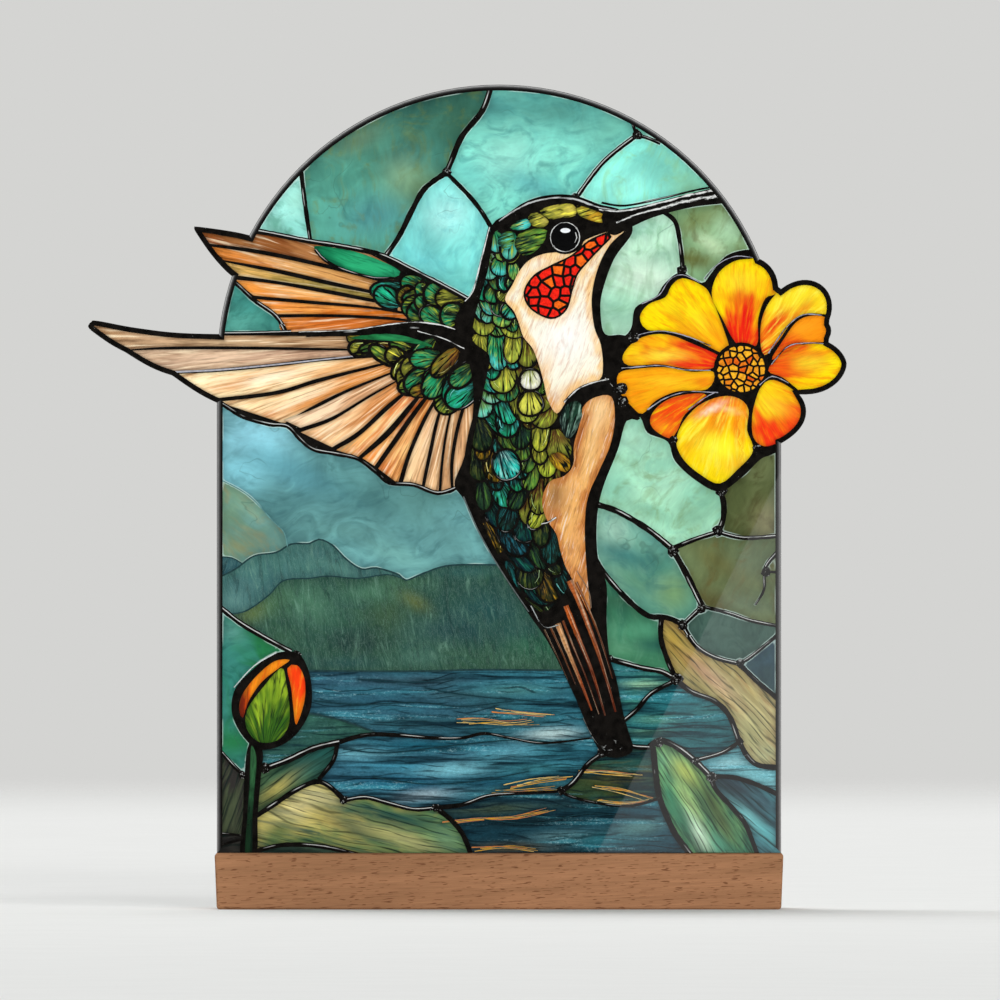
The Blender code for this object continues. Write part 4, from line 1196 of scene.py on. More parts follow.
def touch_up(colours, places, touches):
    """Lays the region's soft touches over its colours."""
    for x, h, long, wide, angle, colour, amount in touches:
        turn = math.radians(angle)
        away = places - np.array((x, h))
        along = (away @ np.array((math.cos(turn), math.sin(turn)))) / long
        across = (away @ np.array((-math.sin(turn), math.cos(turn)))) / wide
        share = (amount * np.exp(-(along**2) - across**2))[:, None]
        for key, strength in (("near", 1.0), ("far", 0.85), ("accent", 0.5)):
            colours[key] += (np.array(linear(colour)) - colours[key]) * share * strength


def split_cells(places, triangles, tops):
    """Gives each triangle its region: its layer, or in a layer with cells, the cell that it lies in."""
    edge_users = {}
    for i, triangle in enumerate(triangles):
        for a, b in zip(triangle, triangle[1:] + triangle[:1]):
            edge_users.setdefault((min(a, b), max(a, b)), []).append(i)
    neighbours = [[] for _ in triangles]
    for users in edge_users.values():
        if len(users) == 2:
            neighbours[users[0]].append(users[1])
            neighbours[users[1]].append(users[0])
    regions = []
    region_of = [-1] * len(triangles)
    by_layer = {}
    centres = places[np.array(triangles)].mean(1)
    for start in range(len(triangles)):
        if region_of[start] >= 0:
            continue
        top = tops[start]
        item = layers[top]
        if item["cells"] is None and top in by_layer:
            region_of[start] = by_layer[top]
            continue
        number = len(regions)
        regions.append(dict(item))
        if item["cells"] is None:
            by_layer[top] = number
            region_of[start] = number
            continue
        members = [start]
        region_of[start] = number
        for member in members:
            for other in neighbours[member]:
                if region_of[other] < 0 and tops[other] == top:
                    region_of[other] = number
                    members.append(other)
        spots = centres[members]
        gaps = [float(np.min(np.hypot(*(spots - np.array(cell[0])).T))) for cell in item["cells"]]
        cell = item["cells"][int(np.argmin(gaps))]
        regions[number].update(paint=cell[1], near=cell[2], far=cell[3], accent=cell[4], grain=cell[5])
    touched_regions(regions, region_of, centres)
    return region_of, regions, edge_users


def rim_values(places, region_of, edge_users):
    """How far each corner lies from the edge of its region, in millimetres."""
    spots = []
    for (a, b), users in edge_users.items():
        if len(users) == 1 or region_of[users[0]] != region_of[users[1]]:
            start, end = places[a], places[b]
            steps = max(1, int(np.hypot(*(end - start)) / EDGE_STEP))
            spots += [start + (end - start) * s / steps for s in range(steps + 1)]
    tree = kdtree.KDTree(len(spots))
    for i, spot in enumerate(spots):
        tree.insert((spot[0], spot[1], 0.0), i)
    tree.balance()
    return np.array([tree.find((x, h, 0.0))[2] for x, h in places])


PIECES = {
    "glass": "printed_glass_panes",
    "hill": "printed_hills",
    "water": "printed_water",
    "glint": "printed_glints",
    "ripple": "printed_ripples",
    "leaf": "printed_leaves",
    "sepal": "printed_bud",
    "lead": "printed_lead_lines",
    "lead_shape": "printed_lead_shapes",
    # painted edge light: grey rings that stand in for light on the plate's cut edge
    "edge": "printed_edge_light",
    "solder": "printed_solder",
    "hairline": "printed_hairlines",
    "bright": "printed_highlights",
    "bright_shape": "printed_eye_light",
    "feather": "printed_wing_feathers",
    "covert": "printed_wing_coverts",
    "scale": "printed_body_feathers",
    "down": "printed_breast",
    "gorget": "printed_throat",
    "eye": "printed_eye",
    "petal": "printed_petals",
    "heart": "printed_flower_heart",
}


def add_object(name, data):
    made = bpy.data.objects.new(name, data)
    bpy.context.scene.collection.objects.link(made)
    return made


def film_pieces():
    """One flat mesh for each paint, with the values that its material reads."""
    places, triangles, tops = cut_film()
    region_of, regions, edge_users = split_cells(places, triangles, tops)
    rims = rim_values(places, region_of, edge_users)
    triangles = np.array(triangles)
    region_of = np.array(region_of)
    made = {}
    for paint, name in PIECES.items():
        chosen = [i for i, region in enumerate(regions) if region["paint"] == paint]
        picked = np.isin(region_of, chosen)
        if not picked.any():
            continue
        owners = region_of[picked][:, None].astype(np.int64)
        keys = triangles[picked].astype(np.int64) + owners * len(places)
        unique, inverse = np.unique(keys, return_inverse=True)
        corner = unique % len(places)
        owner = unique // len(places)
        spots = places[corner]
        grain = np.zeros((len(unique), 3))
        reach = np.zeros(len(unique))
        colours = {key: np.ones((len(unique), 4)) for key in ("near", "far", "accent")}
        for number in np.unique(owner):
            region = regions[number]
            mine = owner == number
            along, across = grain_values(region["grain"], spots[mine])
            grain[mine, 0] = along
            grain[mine, 1] = across
            grain[mine, 2] = region.get("seed", (number * SEED_STEP) % 1.0) * SEED_SPREAD
            span = max(1e-3, float(along.max() - along.min()))
            reach[mine] = region["grain"][3] if paint == "lead" else (along - along.min()) / span
            own = {key: np.tile(linear(region[key]), (mine.sum(), 1)) for key in colours}
            touch_up(own, spots[mine], region.get("touches", ()))
            for key in colours:
                colours[key][mine] = own[key]
        mesh = bpy.data.meshes.new(name)
        heights = spots[:, 1] * MM + BASE_TOP
        co = np.stack((spots[:, 0] * MM, np.full(len(spots), PLATE_FRONT - INK_GAP), heights), 1)
        faces = inverse.reshape(-1, 3)
        mesh.from_pydata(co.tolist(), [], faces.tolist())
        for key, kind, values in (
            ("grain", "FLOAT_VECTOR", grain),
            ("reach", "FLOAT", reach),
            ("rim", "FLOAT", rims[corner]),
            ("near", "FLOAT_COLOR", colours["near"]),
            ("far", "FLOAT_COLOR", colours["far"]),
            ("accent", "FLOAT_COLOR", colours["accent"]),
        ):
            attribute = mesh.attributes.new(key, kind, "POINT")
            field = {"FLOAT": "value", "FLOAT_VECTOR": "vector", "FLOAT_COLOR": "color"}[kind]
            attribute.data.foreach_set(field, values.ravel())
        mesh.update()
        if mesh.polygons[0].normal.y > 0:
            mesh.flip_normals()
        piece = add_object(name, mesh)
        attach(piece, "root")
        made[paint] = piece
    return made


film = film_pieces()


class Nodes:
    """The nodes of one material or group, made and joined in one call each."""

    def __init__(self, tree):
        self.tree = tree

    def add(self, kind, inputs=(), output=0, **settings):
        """A node of that kind. An input is a value, or the output of another node."""
        made = self.tree.nodes.new("ShaderNode" + kind)
        for key, value in settings.items():
            setattr(made, key, value)
        pairs = inputs.items() if isinstance(inputs, dict) else enumerate(inputs)
        self.give(made, {key: value for key, value in pairs if value is not None})
        return made if output is None else made.outputs[output]

    def give(self, node, inputs):
        """Sets inputs of the node, each to a value or to the output of another node."""
        for key, value in inputs.items():
            if isinstance(value, bpy.types.NodeSocket):
                self.tree.links.new(value, node.inputs[key])
            else:
                node.inputs[key].default_value = value

    def use(self, group, inputs, output=0):
        """A shared effect, with its inputs set."""
        made = self.add("Group", output=None, node_tree=group)
        self.give(made, inputs)
        return made if output is None else made.outputs[output]

    def math(self, operation, a, b=None, c=None, clamp=False):
        return self.add("Math", (a, b, c), operation=operation, use_clamp=clamp)

    def step(self, value, low, high, to_low=0.0, to_high=1.0):
        """A soft step from to_low, where the value is low, up to to_high."""
        inputs = {"Value": value, "From Min": low, "From Max": high, "To Min": to_low, "To Max": to_high}
        return self.add("MapRange", inputs, interpolation_type="SMOOTHSTEP")

    def mix(self, share, a, b, blend="MIX"):
        """Colour a, and colour b by its share."""
        made = self.add("Mix", {"Factor": share}, output=None, data_type="RGBA", blend_type=blend)
        self.give(made, {6: a, 7: b})
        return made.outputs[2]

    def scaled(self, vector, amount):
        return self.add("VectorMath", {0: vector, "Scale": amount}, operation="SCALE")

    def split(self, vector):
        """The x, y and z of a vector."""
        return self.add("SeparateXYZ", (vector,), output=None).outputs

    def stretch(self, vector, scale):
        return self.add("VectorMath", (vector, scale), operation="MULTIPLY")

    def noise(self, vector, scale=1.0, detail=2.0, rough=0.5, distortion=0.0):
        inputs = {"Vector": vector, "Scale": scale, "Detail": detail, "Roughness": rough}
        return self.add("TexNoise", {**inputs, "Distortion": distortion})

    def attribute(self, name, output="Fac"):
        return self.add("Attribute", output=output, attribute_name=name, attribute_type="GEOMETRY")


def effect(name, inputs, outputs):
    """A shader node group with sockets of those kinds. It gives the group, its nodes and its inputs."""
    group = bpy.data.node_groups.new(name, "ShaderNodeTree")
    kinds = {"colour": "NodeSocketColor", "value": "NodeSocketFloat", "vector": "NodeSocketVector"}
    for way, sockets in (("INPUT", inputs), ("OUTPUT", outputs)):
        for kind, labels in sockets.items():
            for label in labels:
                group.interface.new_socket(label, in_out=way, socket_type=kinds[kind])
    return group, Nodes(group), group.nodes.new("NodeGroupInput").outputs


def finish_effect(group, results):
    """Gives the group its outputs."""
    end = group.nodes.new("NodeGroupOutput")
    for label, socket in results.items():
        group.links.new(socket, end.inputs[label])


def streaked_paint():
    """Two colours that pass into each other along the grain, streaked with a third."""
    group, n, given = effect(
        "streaked paint",
        {
            "colour": ("Near", "Far", "Accent"),
            "vector": ("Grain",),
            "value": ("Reach", "Length", "Width", "Drift", "Accent Amount", "Contrast"),
        },
        {"colour": ("Colour",)},
    )
    drift = n.add("TexNoise", {"Vector": given["Grain"], "Scale": 0.07, "Detail": 1.0}, output="Color")
    drift = n.add("VectorMath", (drift, (0.5, 0.5, 0.5)), operation="SUBTRACT")
    drift = n.scaled(drift, given["Drift"])
    place = n.add("VectorMath", (given["Grain"], drift), operation="ADD")
    long = n.math("DIVIDE", 1.0, given["Length"])
    wide = n.math("DIVIDE", 1.0, given["Width"])
    broad = n.stretch(place, n.add("CombineXYZ", (long, n.math("MULTIPLY", wide, 0.22), 1.0)))
    broad = n.noise(broad, detail=2.0)
    fine = n.stretch(place, n.add("CombineXYZ", (n.math("MULTIPLY", long, 2.0), wide, 1.0)))
    fine = n.noise(fine, detail=3.0, rough=0.6)
    hair = n.add("CombineXYZ", (n.math("MULTIPLY", long, 4.0), n.math("MULTIPLY", wide, 3.2), 1.7))
    hair = n.noise(n.stretch(place, hair), detail=2.0, rough=0.6)
    passage = n.math("MULTIPLY_ADD", n.math("SUBTRACT", broad, 0.5), 1.9, given["Reach"])
    passage = n.step(passage, 0.15, 0.85)
    colour = n.mix(passage, given["Near"], given["Far"])
    streaks = n.step(fine, 0.46, 0.72)
    streaks = n.math("MULTIPLY", streaks, given["Accent Amount"], clamp=True)
    colour = n.mix(streaks, colour, given["Accent"])
    value = n.math("MULTIPLY_ADD", n.math("SUBTRACT", hair, 0.5), given["Contrast"], 1.0)
    gentle = n.math("MULTIPLY", given["Contrast"], 0.7)
    shade = n.math("MULTIPLY_ADD", n.math("SUBTRACT", broad, 0.5), gentle, value)
    colour = n.scaled(colour, shade)
    finish_effect(group, {"Colour": colour})
    return group


def rim_shade():
    """Paint that darkens towards the line round it, with a fine pale edge here and there."""
    group, n, given = effect(
        "rim shade",
        {"colour": ("Colour",), "vector": ("Place",), "value": ("Rim", "Width", "Depth", "Pale Edge")},
        {"colour": ("Colour",)},
    )
    near = n.math("SUBTRACT", 1.0, n.math("DIVIDE", given["Rim"], given["Width"], clamp=True))
    near = n.math("MULTIPLY", n.math("POWER", near, 1.6), given["Depth"])
    dark = n.math("SUBTRACT", 1.0, near)
    colour = n.scaled(given["Colour"], dark)
    patch = n.step(n.noise(given["Place"], scale=0.11, detail=1.0), 0.47, 0.6)
    edge = n.math("MULTIPLY", n.step(given["Rim"], 0.35, 0.1), patch)
    colour = n.mix(n.math("MULTIPLY", edge, given["Pale Edge"], clamp=True), colour, linear(0xDEFAF2))
    finish_effect(group, {"Colour": colour})
    return group


def hair_cracks():
    """Fine wandering lines, drawn only here and there."""
    group, n, given = effect(
        "hair cracks", {"vector": ("Place",), "value": ("Scale", "Amount")}, {"value": ("Mask",)}
    )
    wander = n.noise(given["Place"], given["Scale"], detail=2.6, distortion=0.5)
    line_mask = n.math("ABSOLUTE", n.math("SUBTRACT", wander, 0.5))
    line_mask = n.step(line_mask, 0.006, 0.0015)
    patch = n.noise(given["Place"], scale=0.055, detail=1.0)
    patch = n.step(patch, 0.53, 0.62)
    mask = n.math("MULTIPLY", n.math("MULTIPLY", line_mask, patch), given["Amount"], clamp=True)
    finish_effect(group, {"Mask": mask})
    return group


def flowing_lines():
    """Thin lines side by side along the grain, which bend together and come and go."""
    group, n, given = effect(
        "flowing lines", {"value": ("Along", "Across", "Spacing", "Bend", "Seed")}, {"value": ("Mask",)}
    )
    along, across, seed = given["Along"], given["Across"], given["Seed"]
    slow = n.add("CombineXYZ", (n.math("MULTIPLY", along, 0.04), n.math("MULTIPLY", across, 0.09), seed))
    bend = n.math("MULTIPLY", n.math("SUBTRACT", n.noise(slow, detail=2.0), 0.5), given["Bend"])
    beside = n.math("ADD", n.math("DIVIDE", across, given["Spacing"]), bend)
    thin = n.step(n.math("PINGPONG", beside, 0.5), 0.17, 0.03)
    quick = n.add("CombineXYZ", (n.math("MULTIPLY", along, 0.09), n.math("MULTIPLY", across, 0.5), seed))
    shown = n.step(n.noise(quick, detail=2.0), 0.42, 0.6)
    finish_effect(group, {"Mask": n.math("MULTIPLY", thin, shown)})
    return group


def ink_grain():
    """The faint tooth of printed ink."""
    group, n, given = effect("ink grain", {"vector": ("Place",)}, {"value": ("Height", "Roughness")})
    tooth = n.noise(given["Place"], scale=3.1, detail=2.0)
    finish_effect(group, {"Height": tooth, "Roughness": n.step(tooth, 0.3, 0.7, 0.3, 0.44)})
    return group


STREAKS = streaked_paint()
RIM = rim_shade()
CRACKS = hair_cracks()
FLOW = flowing_lines()
INK = ink_grain()


def material_named(name):
    """A new material, with its nodes and its shader."""
    material = bpy.data.materials.new(name)
    material.use_nodes = True
    return material, Nodes(material.node_tree), material.node_tree.nodes["Principled BSDF"]


def material_in_mm(name):
    """A new material with its nodes and its shader, and where a point of it is, in millimetres."""
    material, n, shader = material_named(name)
    return material, n, shader, n.scaled(n.add("TexCoord", output="Object"), 1 / MM)


def finish_ink(n, shader, colour, place):
    """Ink under the plate's clear gloss."""
    grain = n.use(INK, {"Place": place}, None).outputs
    bump = n.add("Bump", {"Height": grain["Height"], "Strength": 0.15, "Distance": INK_TOOTH})
    n.give(shader, {"Base Color": colour, "Normal": bump, "Roughness": grain["Roughness"]})
    n.give(shader, {"Specular IOR Level": 0.0, "Coat Weight": 1.0, "Coat Roughness": 0.02})


def painted(name, *streaks, rim=(1.0, 0.3), pale_edge=0.0, extra=None, reach=None):
    """An ink with streaks along the grain and a darker rim. The streaks are their length, width, drift,
    accent and contrast, and extra may add to the colour."""
    material, n, shader, place = material_in_mm(name)
    near, far, third = (n.attribute(key, "Color") for key in ("near", "far", "accent"))
    grain = n.attribute("grain", "Vector")
    rim_value = n.attribute("rim")
    reach_value = reach(n, rim_value) if reach else n.attribute("reach")
    looks = {"Near": near, "Far": far, "Accent": third, "Grain": grain, "Reach": reach_value}
    looks |= zip(("Length", "Width", "Drift", "Accent Amount", "Contrast"), streaks)
    colour = n.use(STREAKS, looks)
    if extra:
        colour = extra(n, colour, grain, place, third)
    edge = {"Rim": rim_value, "Width": rim[0], "Depth": rim[1], "Pale Edge": pale_edge, "Place": place}
    colour = n.use(RIM, {"Colour": colour, **edge})
    finish_ink(n, shader, colour, place)
    return material


def with_cracks(n, colour, grain, place, accent):
    """Opal glass: soft clouds and a few hair cracks."""
    cloud = n.noise(n.stretch(place, (1.0, 1.0, 1.0)), scale=0.05, detail=4.0, rough=0.6, distortion=1.4)
    colour = n.scaled(colour, n.step(cloud, 0.3, 0.7, 0.84, 1.16))
    mask = n.use(CRACKS, {"Place": place, "Scale": 0.06, "Amount": 0.3})
    return n.mix(mask, colour, linear(0x34544C))


def with_ripples(n, colour, grain, place, accent):
    """Water: dark and pale ripples that run level, with thin dark lines along them and white specks."""
    parts = n.split(place)
    ripple = n.noise(n.stretch(place, (0.03, 1.0, 0.42)), detail=3.0, rough=0.55, distortion=0.3)
    colour = n.mix(n.step(ripple, 0.48, 0.34, 0.0, 0.8), colour, linear(0x0A222E))
    colour = n.mix(n.step(ripple, 0.57, 0.74, 0.0, 0.4), colour, linear(0x54C0D4))
    for spacing, bend, seed, strength in ((1.5, 5.0, 3.0, 0.75), (2.9, 4.0, 8.0, 0.6)):
        inputs = {"Along": parts[0], "Across": parts[2], "Spacing": spacing, "Bend": bend, "Seed": seed}
        colour = n.mix(n.math("MULTIPLY", n.use(FLOW, inputs), strength), colour, linear(0x081820))
    specks = n.noise(n.stretch(place, (1.4, 1.0, 2.6)), detail=3.0, rough=0.8)
    shown = n.math("MULTIPLY", n.step(specks, 0.52, 0.7), n.step(ripple, 0.54, 0.7))
    colour = n.scaled(colour, n.step(specks, 0.3, 0.68, 0.8, 1.2))
    return n.mix(n.math("MULTIPLY", shown, 0.5), colour, linear(0xBEE2E8))


def with_smoke(n, colour, grain, place, accent):
    """Misty hills: soft upright strands, dark and pale, that lean and curl a little."""
    strand = n.noise(n.stretch(grain, (0.06, 0.26, 1.0)), detail=5.0, rough=0.66, distortion=2.4)
    colour = n.mix(n.step(strand, 0.5, 0.3, 0.0, 0.5), colour, linear(0x14282A))
    colour = n.mix(n.step(strand, 0.54, 0.74, 0.0, 0.36), colour, linear(0x7EAC96))
    thread = n.noise(n.stretch(grain, (0.12, 0.6, 2.0)), detail=4.0, rough=0.7, distortion=3.2)
    thread = n.math("ABSOLUTE", n.math("SUBTRACT", thread, 0.5))
    return n.mix(n.step(thread, 0.03, 0.0, 0.0, 0.16), colour, linear(0xA0C8B8))


def with_veins(n, colour, grain, place, accent):
    """Leaves: long dark lines that flow with the leaf, and pale strands between them."""
    parts = n.split(grain)
    strands = n.noise(n.stretch(grain, (0.035, 0.5, 2.0)), detail=3.0, rough=0.6, distortion=0.5)
    colour = n.mix(n.step(strands, 0.48, 0.34, 0.0, 0.6), colour, accent)
    lit = n.scaled(colour, 1.65)
    colour = n.mix(n.step(strands, 0.54, 0.7, 0.0, 0.6), colour, lit)
    for spacing, bend, seed, strength in ((1.3, 4.0, 1.0, 0.75), (2.3, 3.0, 5.0, 0.65)):
        inputs = {"Along": parts[0], "Across": parts[1], "Spacing": spacing, "Bend": bend, "Seed": seed}
        colour = n.mix(n.math("MULTIPLY", n.use(FLOW, inputs), strength), colour, linear(0x10221E))
    return colour


def with_barbs(n, colour, grain, place, accent):
    """Wing feathers: fine barbs, pale ones and burnt ones."""
    barbs = n.noise(n.stretch(grain, (0.06, 1.5, 1.0)), detail=3.0, rough=0.6, distortion=0.25)
    burnt = n.scaled(accent, 0.5)
    colour = n.mix(n.step(barbs, 0.46, 0.3, 0.0, 0.7), colour, burnt)
    colour = n.mix(n.step(barbs, 0.52, 0.7, 0.0, 0.66), colour, linear(0xFFECC8))
    return n.scaled(colour, 1.16)


def with_shaft(n, colour, grain, place, accent):
    """Body feathers: a dark shaft, dark barbs, and glints of the accent."""
    across = n.split(grain)[1]
    shaft = n.step(n.math("ABSOLUTE", across), 0.22, 0.1)
    barbs = n.noise(n.stretch(grain, (0.22, 1.7, 1.0)), detail=2.0)
    colour = n.mix(n.step(barbs, 0.47, 0.36), colour, linear(0x0E1612))
    colour = n.mix(n.step(barbs, 0.6, 0.72), colour, accent)
    return n.mix(n.math("MULTIPLY", shaft, 0.7), colour, linear(0x101410))


def edge_reach(n, rim):
    """Down is pale in its middle and deep at its edge."""
    return n.step(rim, 3.2, 0.1, 0.0, 0.8)


def with_strands(n, colour, grain, place, accent):
    """Down: fine strands in the accent colour, and white ones."""
    strands = n.noise(n.stretch(grain, (0.14, 2.2, 1.0)), detail=3.0, rough=0.7, distortion=0.7)
    edge = n.step(n.attribute("rim"), 4.0, 0.2, 0.12, 0.75)
    colour = n.mix(n.math("MULTIPLY", n.step(strands, 0.54, 0.66), edge), colour, accent)
    return n.mix(n.math("MULTIPLY", n.step(strands, 0.44, 0.32), 0.5), colour, linear(0xFFFCF2))


def cells_of(name, size, gap, spread, middle):
    """Small cells of coloured glass with lead between them."""
    material, n, shader, place = material_in_mm(name)
    parts = n.split(place)
    flat = n.add("CombineXYZ", (parts[0], parts[2], 0.0))
    inputs = {"Vector": flat, "Scale": 1 / size, "Randomness": 0.8}
    edge = n.add("TexVoronoi", inputs, output="Distance", feature="DISTANCE_TO_EDGE",
        voronoi_dimensions="2D")
    cell = n.add("TexVoronoi", inputs, output="Color", feature="F1", voronoi_dimensions="2D")
    tint = n.add("SeparateColor", (cell,), output=0)
    near, far, lead = (n.attribute(key, "Color") for key in ("near", "far", "accent"))
    colour = n.mix(n.step(tint, middle - spread, middle + spread), near, far)
    mottle = n.noise(flat, scale=1.1, detail=3.0, rough=0.6)
    colour = n.scaled(colour, n.step(mottle, 0.3, 0.7, 0.7, 1.25))
    line_mask = n.step(edge, gap * 1.25, gap * 0.75)
    colour = n.mix(line_mask, colour, lead)
    rim = n.step(n.attribute("rim"), 0.7, 0.45)
    colour = n.mix(rim, colour, lead)
    finish_ink(n, shader, colour, place)
    return material


def lead_paint(name, specks, shining=True):
    """Near-black line, with a broken pale streak on its lit side and small specks."""
    material, n, shader, place = material_in_mm(name)
    near = n.attribute("near", "Color")
    tone = n.noise(place, scale=0.5, detail=3.0)
    colour = n.scaled(near, n.step(tone, 0.3, 0.7, 0.5, 1.5))
    if shining:
        grain = n.attribute("grain", "Vector")
        parts = n.split(grain)
        off = n.math("ABSOLUTE", n.math("SUBTRACT", parts[1], 0.3))
        streak = n.step(off, 0.26, 0.06)
        broken = n.noise(n.stretch(grain, (0.12, 0.0, 1.0)), detail=2.0)
        limit = n.math("SUBTRACT", 0.62, n.math("MULTIPLY", n.attribute("reach"), 0.3))
        broken = n.math("MULTIPLY", n.math("SUBTRACT", broken, limit), 9.0, clamp=True)
        streak = n.math("MULTIPLY", streak, broken)
        colour = n.mix(n.math("MULTIPLY", streak, 0.85), colour, linear(0xD6D9D7))
    flecks = n.noise(place, scale=1.5, detail=3.0, rough=0.7)
    flecks = n.step(flecks, 0.74 - specks * 0.16, 0.8 - specks * 0.16)
    colour = n.mix(n.math("MULTIPLY", flecks, 0.6), colour, linear(0xBCC0BE))
    finish_ink(n, shader, colour, place)
    return material


def flat_ink(name, mottle=0.2):
    """A fine line or spot of one ink, a little uneven."""
    material, n, shader, place = material_in_mm(name)
    near = n.attribute("near", "Color")
    tone = n.noise(place, scale=0.8, detail=3.0)
    colour = n.scaled(near, n.step(tone, 0.3, 0.7, 1 - mottle, 1 + mottle))
    finish_ink(n, shader, colour, place)
    return material


def broken_ink(name, behind):
    """Touches of light that break up into the water behind them."""
    material, n, shader, place = material_in_mm(name)
    near = n.attribute("near", "Color")
    parts = n.split(n.attribute("grain", "Vector"))
    texture = n.noise(n.stretch(place, (0.35, 1.0, 1.6)), detail=3.0, rough=0.65)
    fade = n.math("SUBTRACT", 1.0, n.math("ABSOLUTE", parts[1]))
    share = n.step(n.math("MULTIPLY_ADD", fade, 0.5, texture), 0.62, 0.86)
    colour = n.mix(share, linear(behind), near)
    finish_ink(n, shader, colour, place)
    return material


def bright_ink(name):
    """Pale highlights with dark breaks."""
    material, n, shader, place = material_in_mm(name)
    near = n.attribute("near", "Color")
    parts = n.split(n.attribute("grain", "Vector"))
    texture = n.noise(n.stretch(n.attribute("grain", "Vector"), (0.3, 0.6, 1.0)), detail=3.0, rough=0.7)
    edge = n.math("ABSOLUTE", parts[1])
    share = n.step(n.math("MULTIPLY_ADD", edge, 0.25, texture), 0.7, 0.52)
    colour = n.mix(share, linear(LEAD), near)
    finish_ink(n, shader, colour, place)
    return material


def print_materials():
    """The inks. A painted one gives its streaks' length, width and drift in mm, accent and contrast."""
    return {
        "glass": painted("opal glass ink", 22, 3.6, 9, 0.7, 0.28, rim=(2.4, 0.26), pale_edge=0.4,
            extra=with_cracks),
        "hill": painted("misty hill ink", 12, 2.8, 9, 0.3, 0.24, rim=(3.0, 0.2), extra=with_smoke),
        "water": painted("lake ink", 22, 1.5, 4, 0.5, 0.4, rim=(1.2, 0.45), extra=with_ripples),
        "leaf": painted("leaf ink", 18, 1.2, 4, 0.6, 0.4, rim=(1.4, 0.4), extra=with_veins),
        "sepal": painted("bud green ink", 12, 0.7, 2, 1.0, 0.6, rim=(1.0, 0.4), extra=with_veins),
        "feather": painted("wing feather ink", 18, 0.8, 2, 0.7, 0.6, rim=(1.1, 0.55), extra=with_barbs),
        "covert": painted("green covert ink", 16, 0.9, 2, 0.6, 0.6, rim=(1.1, 0.5)),
        "scale": painted("body feather ink", 6, 0.7, 1, 0.5, 0.9, rim=(1.2, 0.62), extra=with_shaft),
        "down": painted("breast down ink", 9, 0.8, 5, 0.5, 0.3, rim=(0.6, 0.2), extra=with_strands,
            reach=edge_reach),
        "petal": painted("petal ink", 14, 1.0, 3, 0.75, 0.46, rim=(1.2, 0.42)),
        "gorget": cells_of("throat ink", 2.9, 0.13, 0.05, 0.74),
        "heart": cells_of("flower heart ink", 1.9, 0.15, 0.3, 0.66),
        "lead": lead_paint("lead line ink", 0.15),
        "lead_shape": lead_paint("lead shape ink", 0.1, shining=False),
        "solder": lead_paint("solder ink", 1.0, shining=False),
        # painted edge light: grey rings that stand in for light on the plate's cut edge
        "edge": flat_ink("painted edge light ink", 0.05),
        "hairline": flat_ink("hairline ink"),
        "ripple": flat_ink("ripple ink"),
        "glint": broken_ink("glint ink", 0x225860),
        "bright": bright_ink("highlight ink"),
        "bright_shape": flat_ink("eye light ink", 0.05),
        "eye": flat_ink("eye ink", 0.1),
    }


for paint, material in print_materials().items():
    if paint in film:
        film[paint].data.materials.append(material)


def clear_acrylic():
    material, n, shader, place = material_in_mm("clear acrylic")
    scuffs = n.noise(place, scale=0.4, detail=3.0)
    n.give(shader, {"Base Color": linear(0xF6FAFA), "Roughness": n.step(scuffs, 0.4, 0.8, 0.01, 0.05)})
    n.give(shader, {"Transmission Weight": 1.0, "IOR": ACRYLIC_IOR})
    shadow = n.add("LightPath", output="Is Shadow Ray")
    clear = n.add("BsdfTransparent", {"Color": linear(0xECF2F2)})
    surface = n.add("MixShader", {0: shadow, 1: shader.outputs[0], 2: clear})
    n.give(material.node_tree.nodes["Material Output"], {"Surface": surface})
    return material


def wood_grain():
    """Beech: fine pores along the grain, short dark flecks, and broad soft bands."""
    group, n, given = effect(
        "wood grain", {"vector": ("Place",)}, {"colour": ("Colour",), "value": ("Height", "Roughness")}
    )
    place = given["Place"]
    slanted = n.add("VectorRotate", {"Vector": place, "Angle": 0.045}, rotation_type="Y_AXIS")
    band = n.noise(n.stretch(slanted, (0.012, 0.11, 0.16)), detail=3.0, distortion=0.5)
    fibre = n.noise(n.stretch(slanted, (0.09, 1.6, 2.3)), detail=4.0, rough=0.65)
    pores = n.noise(n.stretch(slanted, (0.32, 3.0, 2.8)), detail=1.0)
    colour = n.mix(n.step(band, 0.3, 0.7), linear(DEEP_BEECH), linear(PALE_BEECH))
    colour = n.scaled(colour, n.step(fibre, 0.25, 0.75, 0.84, 1.14))
    colour = n.mix(n.step(pores, 0.61, 0.67, 0.0, 0.75), colour, linear(BEECH_PORES))
    height = n.math("SUBTRACT", fibre, n.step(pores, 0.63, 0.72))
    rough = n.step(fibre, 0.3, 0.7, 0.5, 0.66)
    finish_effect(group, {"Colour": colour, "Height": height, "Roughness": rough})
    return group


def oiled_beech():
    material, n, shader, place = material_in_mm("oiled beech")
    wood = n.use(wood_grain(), {"Place": place}, None).outputs
    bump = n.add("Bump", {"Height": wood["Height"], "Strength": 0.5, "Distance": WOOD_TOOTH})
    n.give(shader, {"Base Color": wood["Colour"], "Roughness": wood["Roughness"], "Normal": bump})
    n.give(shader, {"Specular IOR Level": 0.0})
    return material


def dress(node, material):
    mesh = frame["nodes"][node].data
    mesh.materials.clear()
    mesh.materials.append(material)


dress("acrylic_plate", clear_acrylic())
dress("wooden_base", oiled_beech())


# The studio
FLOOR_REACH = 4.9
FLOOR_FADE = 2.6
CARD_DISTANCE = 0.2
CARD_BRIGHTNESS = 0.98
# The corners of the card's mirror image on the plate, x and height as in the drawing
GLARE = ((26.5, 0), (80, 0), (80, 111), (74.5, 100))


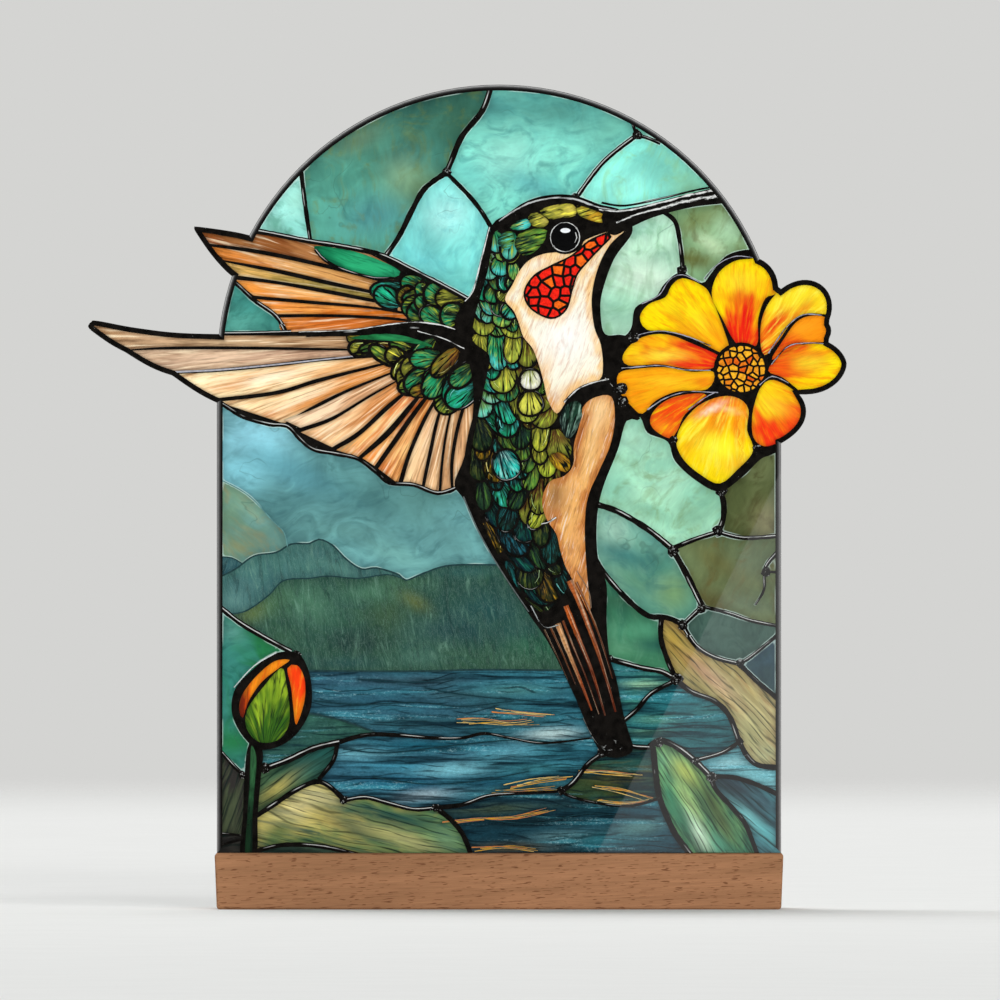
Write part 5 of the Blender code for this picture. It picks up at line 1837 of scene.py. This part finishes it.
def floor():
    """A pale floor, a little darker towards the camera in painted shade, that fades into the backdrop's
    colour far behind.
    """
    mesh = bpy.data.meshes.new("studio_floor")
    shape = bmesh.new()
    bmesh.ops.create_grid(shape, x_segments=24, y_segments=24, size=FLOOR_REACH)
    shape.to_mesh(mesh)
    shape.free()
    made = add_object("studio_floor", mesh)
    material, n, shader = material_named("pale floor")
    place = n.add("TexCoord", output="Object")
    grain = n.noise(place, scale=30.0, detail=2.0)
    # Painted shade: the floor's colour is a little darker towards the camera than behind the plaque
    back = n.step(n.split(place)[1], -1.8, 0.3)
    colour = n.mix(back, linear(0xE1E2E0), linear(0xE9EAE8))
    colour = n.scaled(colour, n.step(grain, 0.3, 0.7, 0.98, 1.0))
    far = n.add("VectorMath", (place,), output="Value", operation="LENGTH")
    n.give(shader, {"Base Color": colour, "Roughness": 0.9,
        "Alpha": n.step(far, FLOOR_REACH, FLOOR_FADE)})
    mesh.materials.append(material)
    made.visible_glossy = False


def world():
    """The backdrop that the camera sees, the dimmer room that lights the object, and its dark mirror
    image."""
    made = bpy.data.worlds.new("studio")
    made.use_nodes = True
    n = Nodes(made.node_tree)
    path = n.add("LightPath", output=None)
    rise = n.split(n.add("TexCoord", output="Generated"))[2]
    mirrored = n.mix(n.step(rise, 0.12, 0.6), (0.03, 0.03, 0.03, 1.0), (0.7, 0.7, 0.7, 1.0))
    room = n.mix(path.outputs["Is Glossy Ray"], (0.31, 0.31, 0.31, 1.0), mirrored)
    seen = n.mix(path.outputs["Is Camera Ray"], room, linear(0xD4D4D2))
    n.give(made.node_tree.nodes["Background"], {"Color": seen, "Strength": 1.0})
    bpy.context.scene.world = made


def soft_sun(name, across, up, strength, angle):
    """A broad far light. across is its bearing, from the camera to the right, and up its height."""
    lamp = bpy.data.lights.new(name, "SUN")
    lamp.energy = strength
    lamp.angle = math.radians(angle)
    across = math.radians(across)
    up = math.radians(up)
    source = Vector((math.sin(across) * math.cos(up), -math.cos(across) * math.cos(up), math.sin(up)))
    made = add_object(name, lamp)
    made.rotation_euler = source.to_track_quat("Z", "Y").to_euler()
    made.location = source * 3


def glare_card():
    """A bright card in front, whose mirror image is a pale veil over the lower right of the plate."""
    spread = 1 + CARD_DISTANCE / VIEW_DISTANCE
    corners = []
    for x, h in GLARE:
        right = VIEW_X + (x * MM - VIEW_X) * spread
        up = VIEW_HEIGHT + (h * MM + BASE_TOP - VIEW_HEIGHT) * spread
        corners.append((right, PLATE_FRONT - CARD_DISTANCE, up))
    mesh = bpy.data.meshes.new("glare_card")
    mesh.from_pydata(corners, [], [list(range(len(corners)))])
    made = add_object("glare_card", mesh)
    material, n, shader = material_named("glare card")
    n.give(shader, {"Base Color": (0, 0, 0, 1), "Emission Color": (1, 1, 1, 1)})
    n.give(shader, {"Emission Strength": CARD_BRIGHTNESS})
    mesh.materials.append(material)
    made.visible_camera = False
    made.visible_diffuse = False
    made.visible_shadow = False
    made.visible_transmission = False


def studio():
    floor()
    world()
    soft_sun("key light", across=24, up=26, strength=0.78, angle=22)
    soft_sun("low light", across=8, up=10, strength=1.15, angle=8)
    soft_sun("back light", across=200, up=50, strength=2.05, angle=50)
    glare_card()


def camera():
    lens = bpy.data.cameras.new("camera")
    lens.lens = LENS
    lens.sensor_width = VIEW_WIDTH * LENS / VIEW_DISTANCE
    lens.clip_end = 30.0
    made = add_object("camera", lens)
    made.location = (VIEW_X, PLATE_FRONT - VIEW_DISTANCE, VIEW_HEIGHT)
    made.rotation_euler = (math.radians(90), 0, 0)
    bpy.context.scene.camera = made
    bpy.context.scene.view_settings.view_transform = "Standard"


studio()
camera()
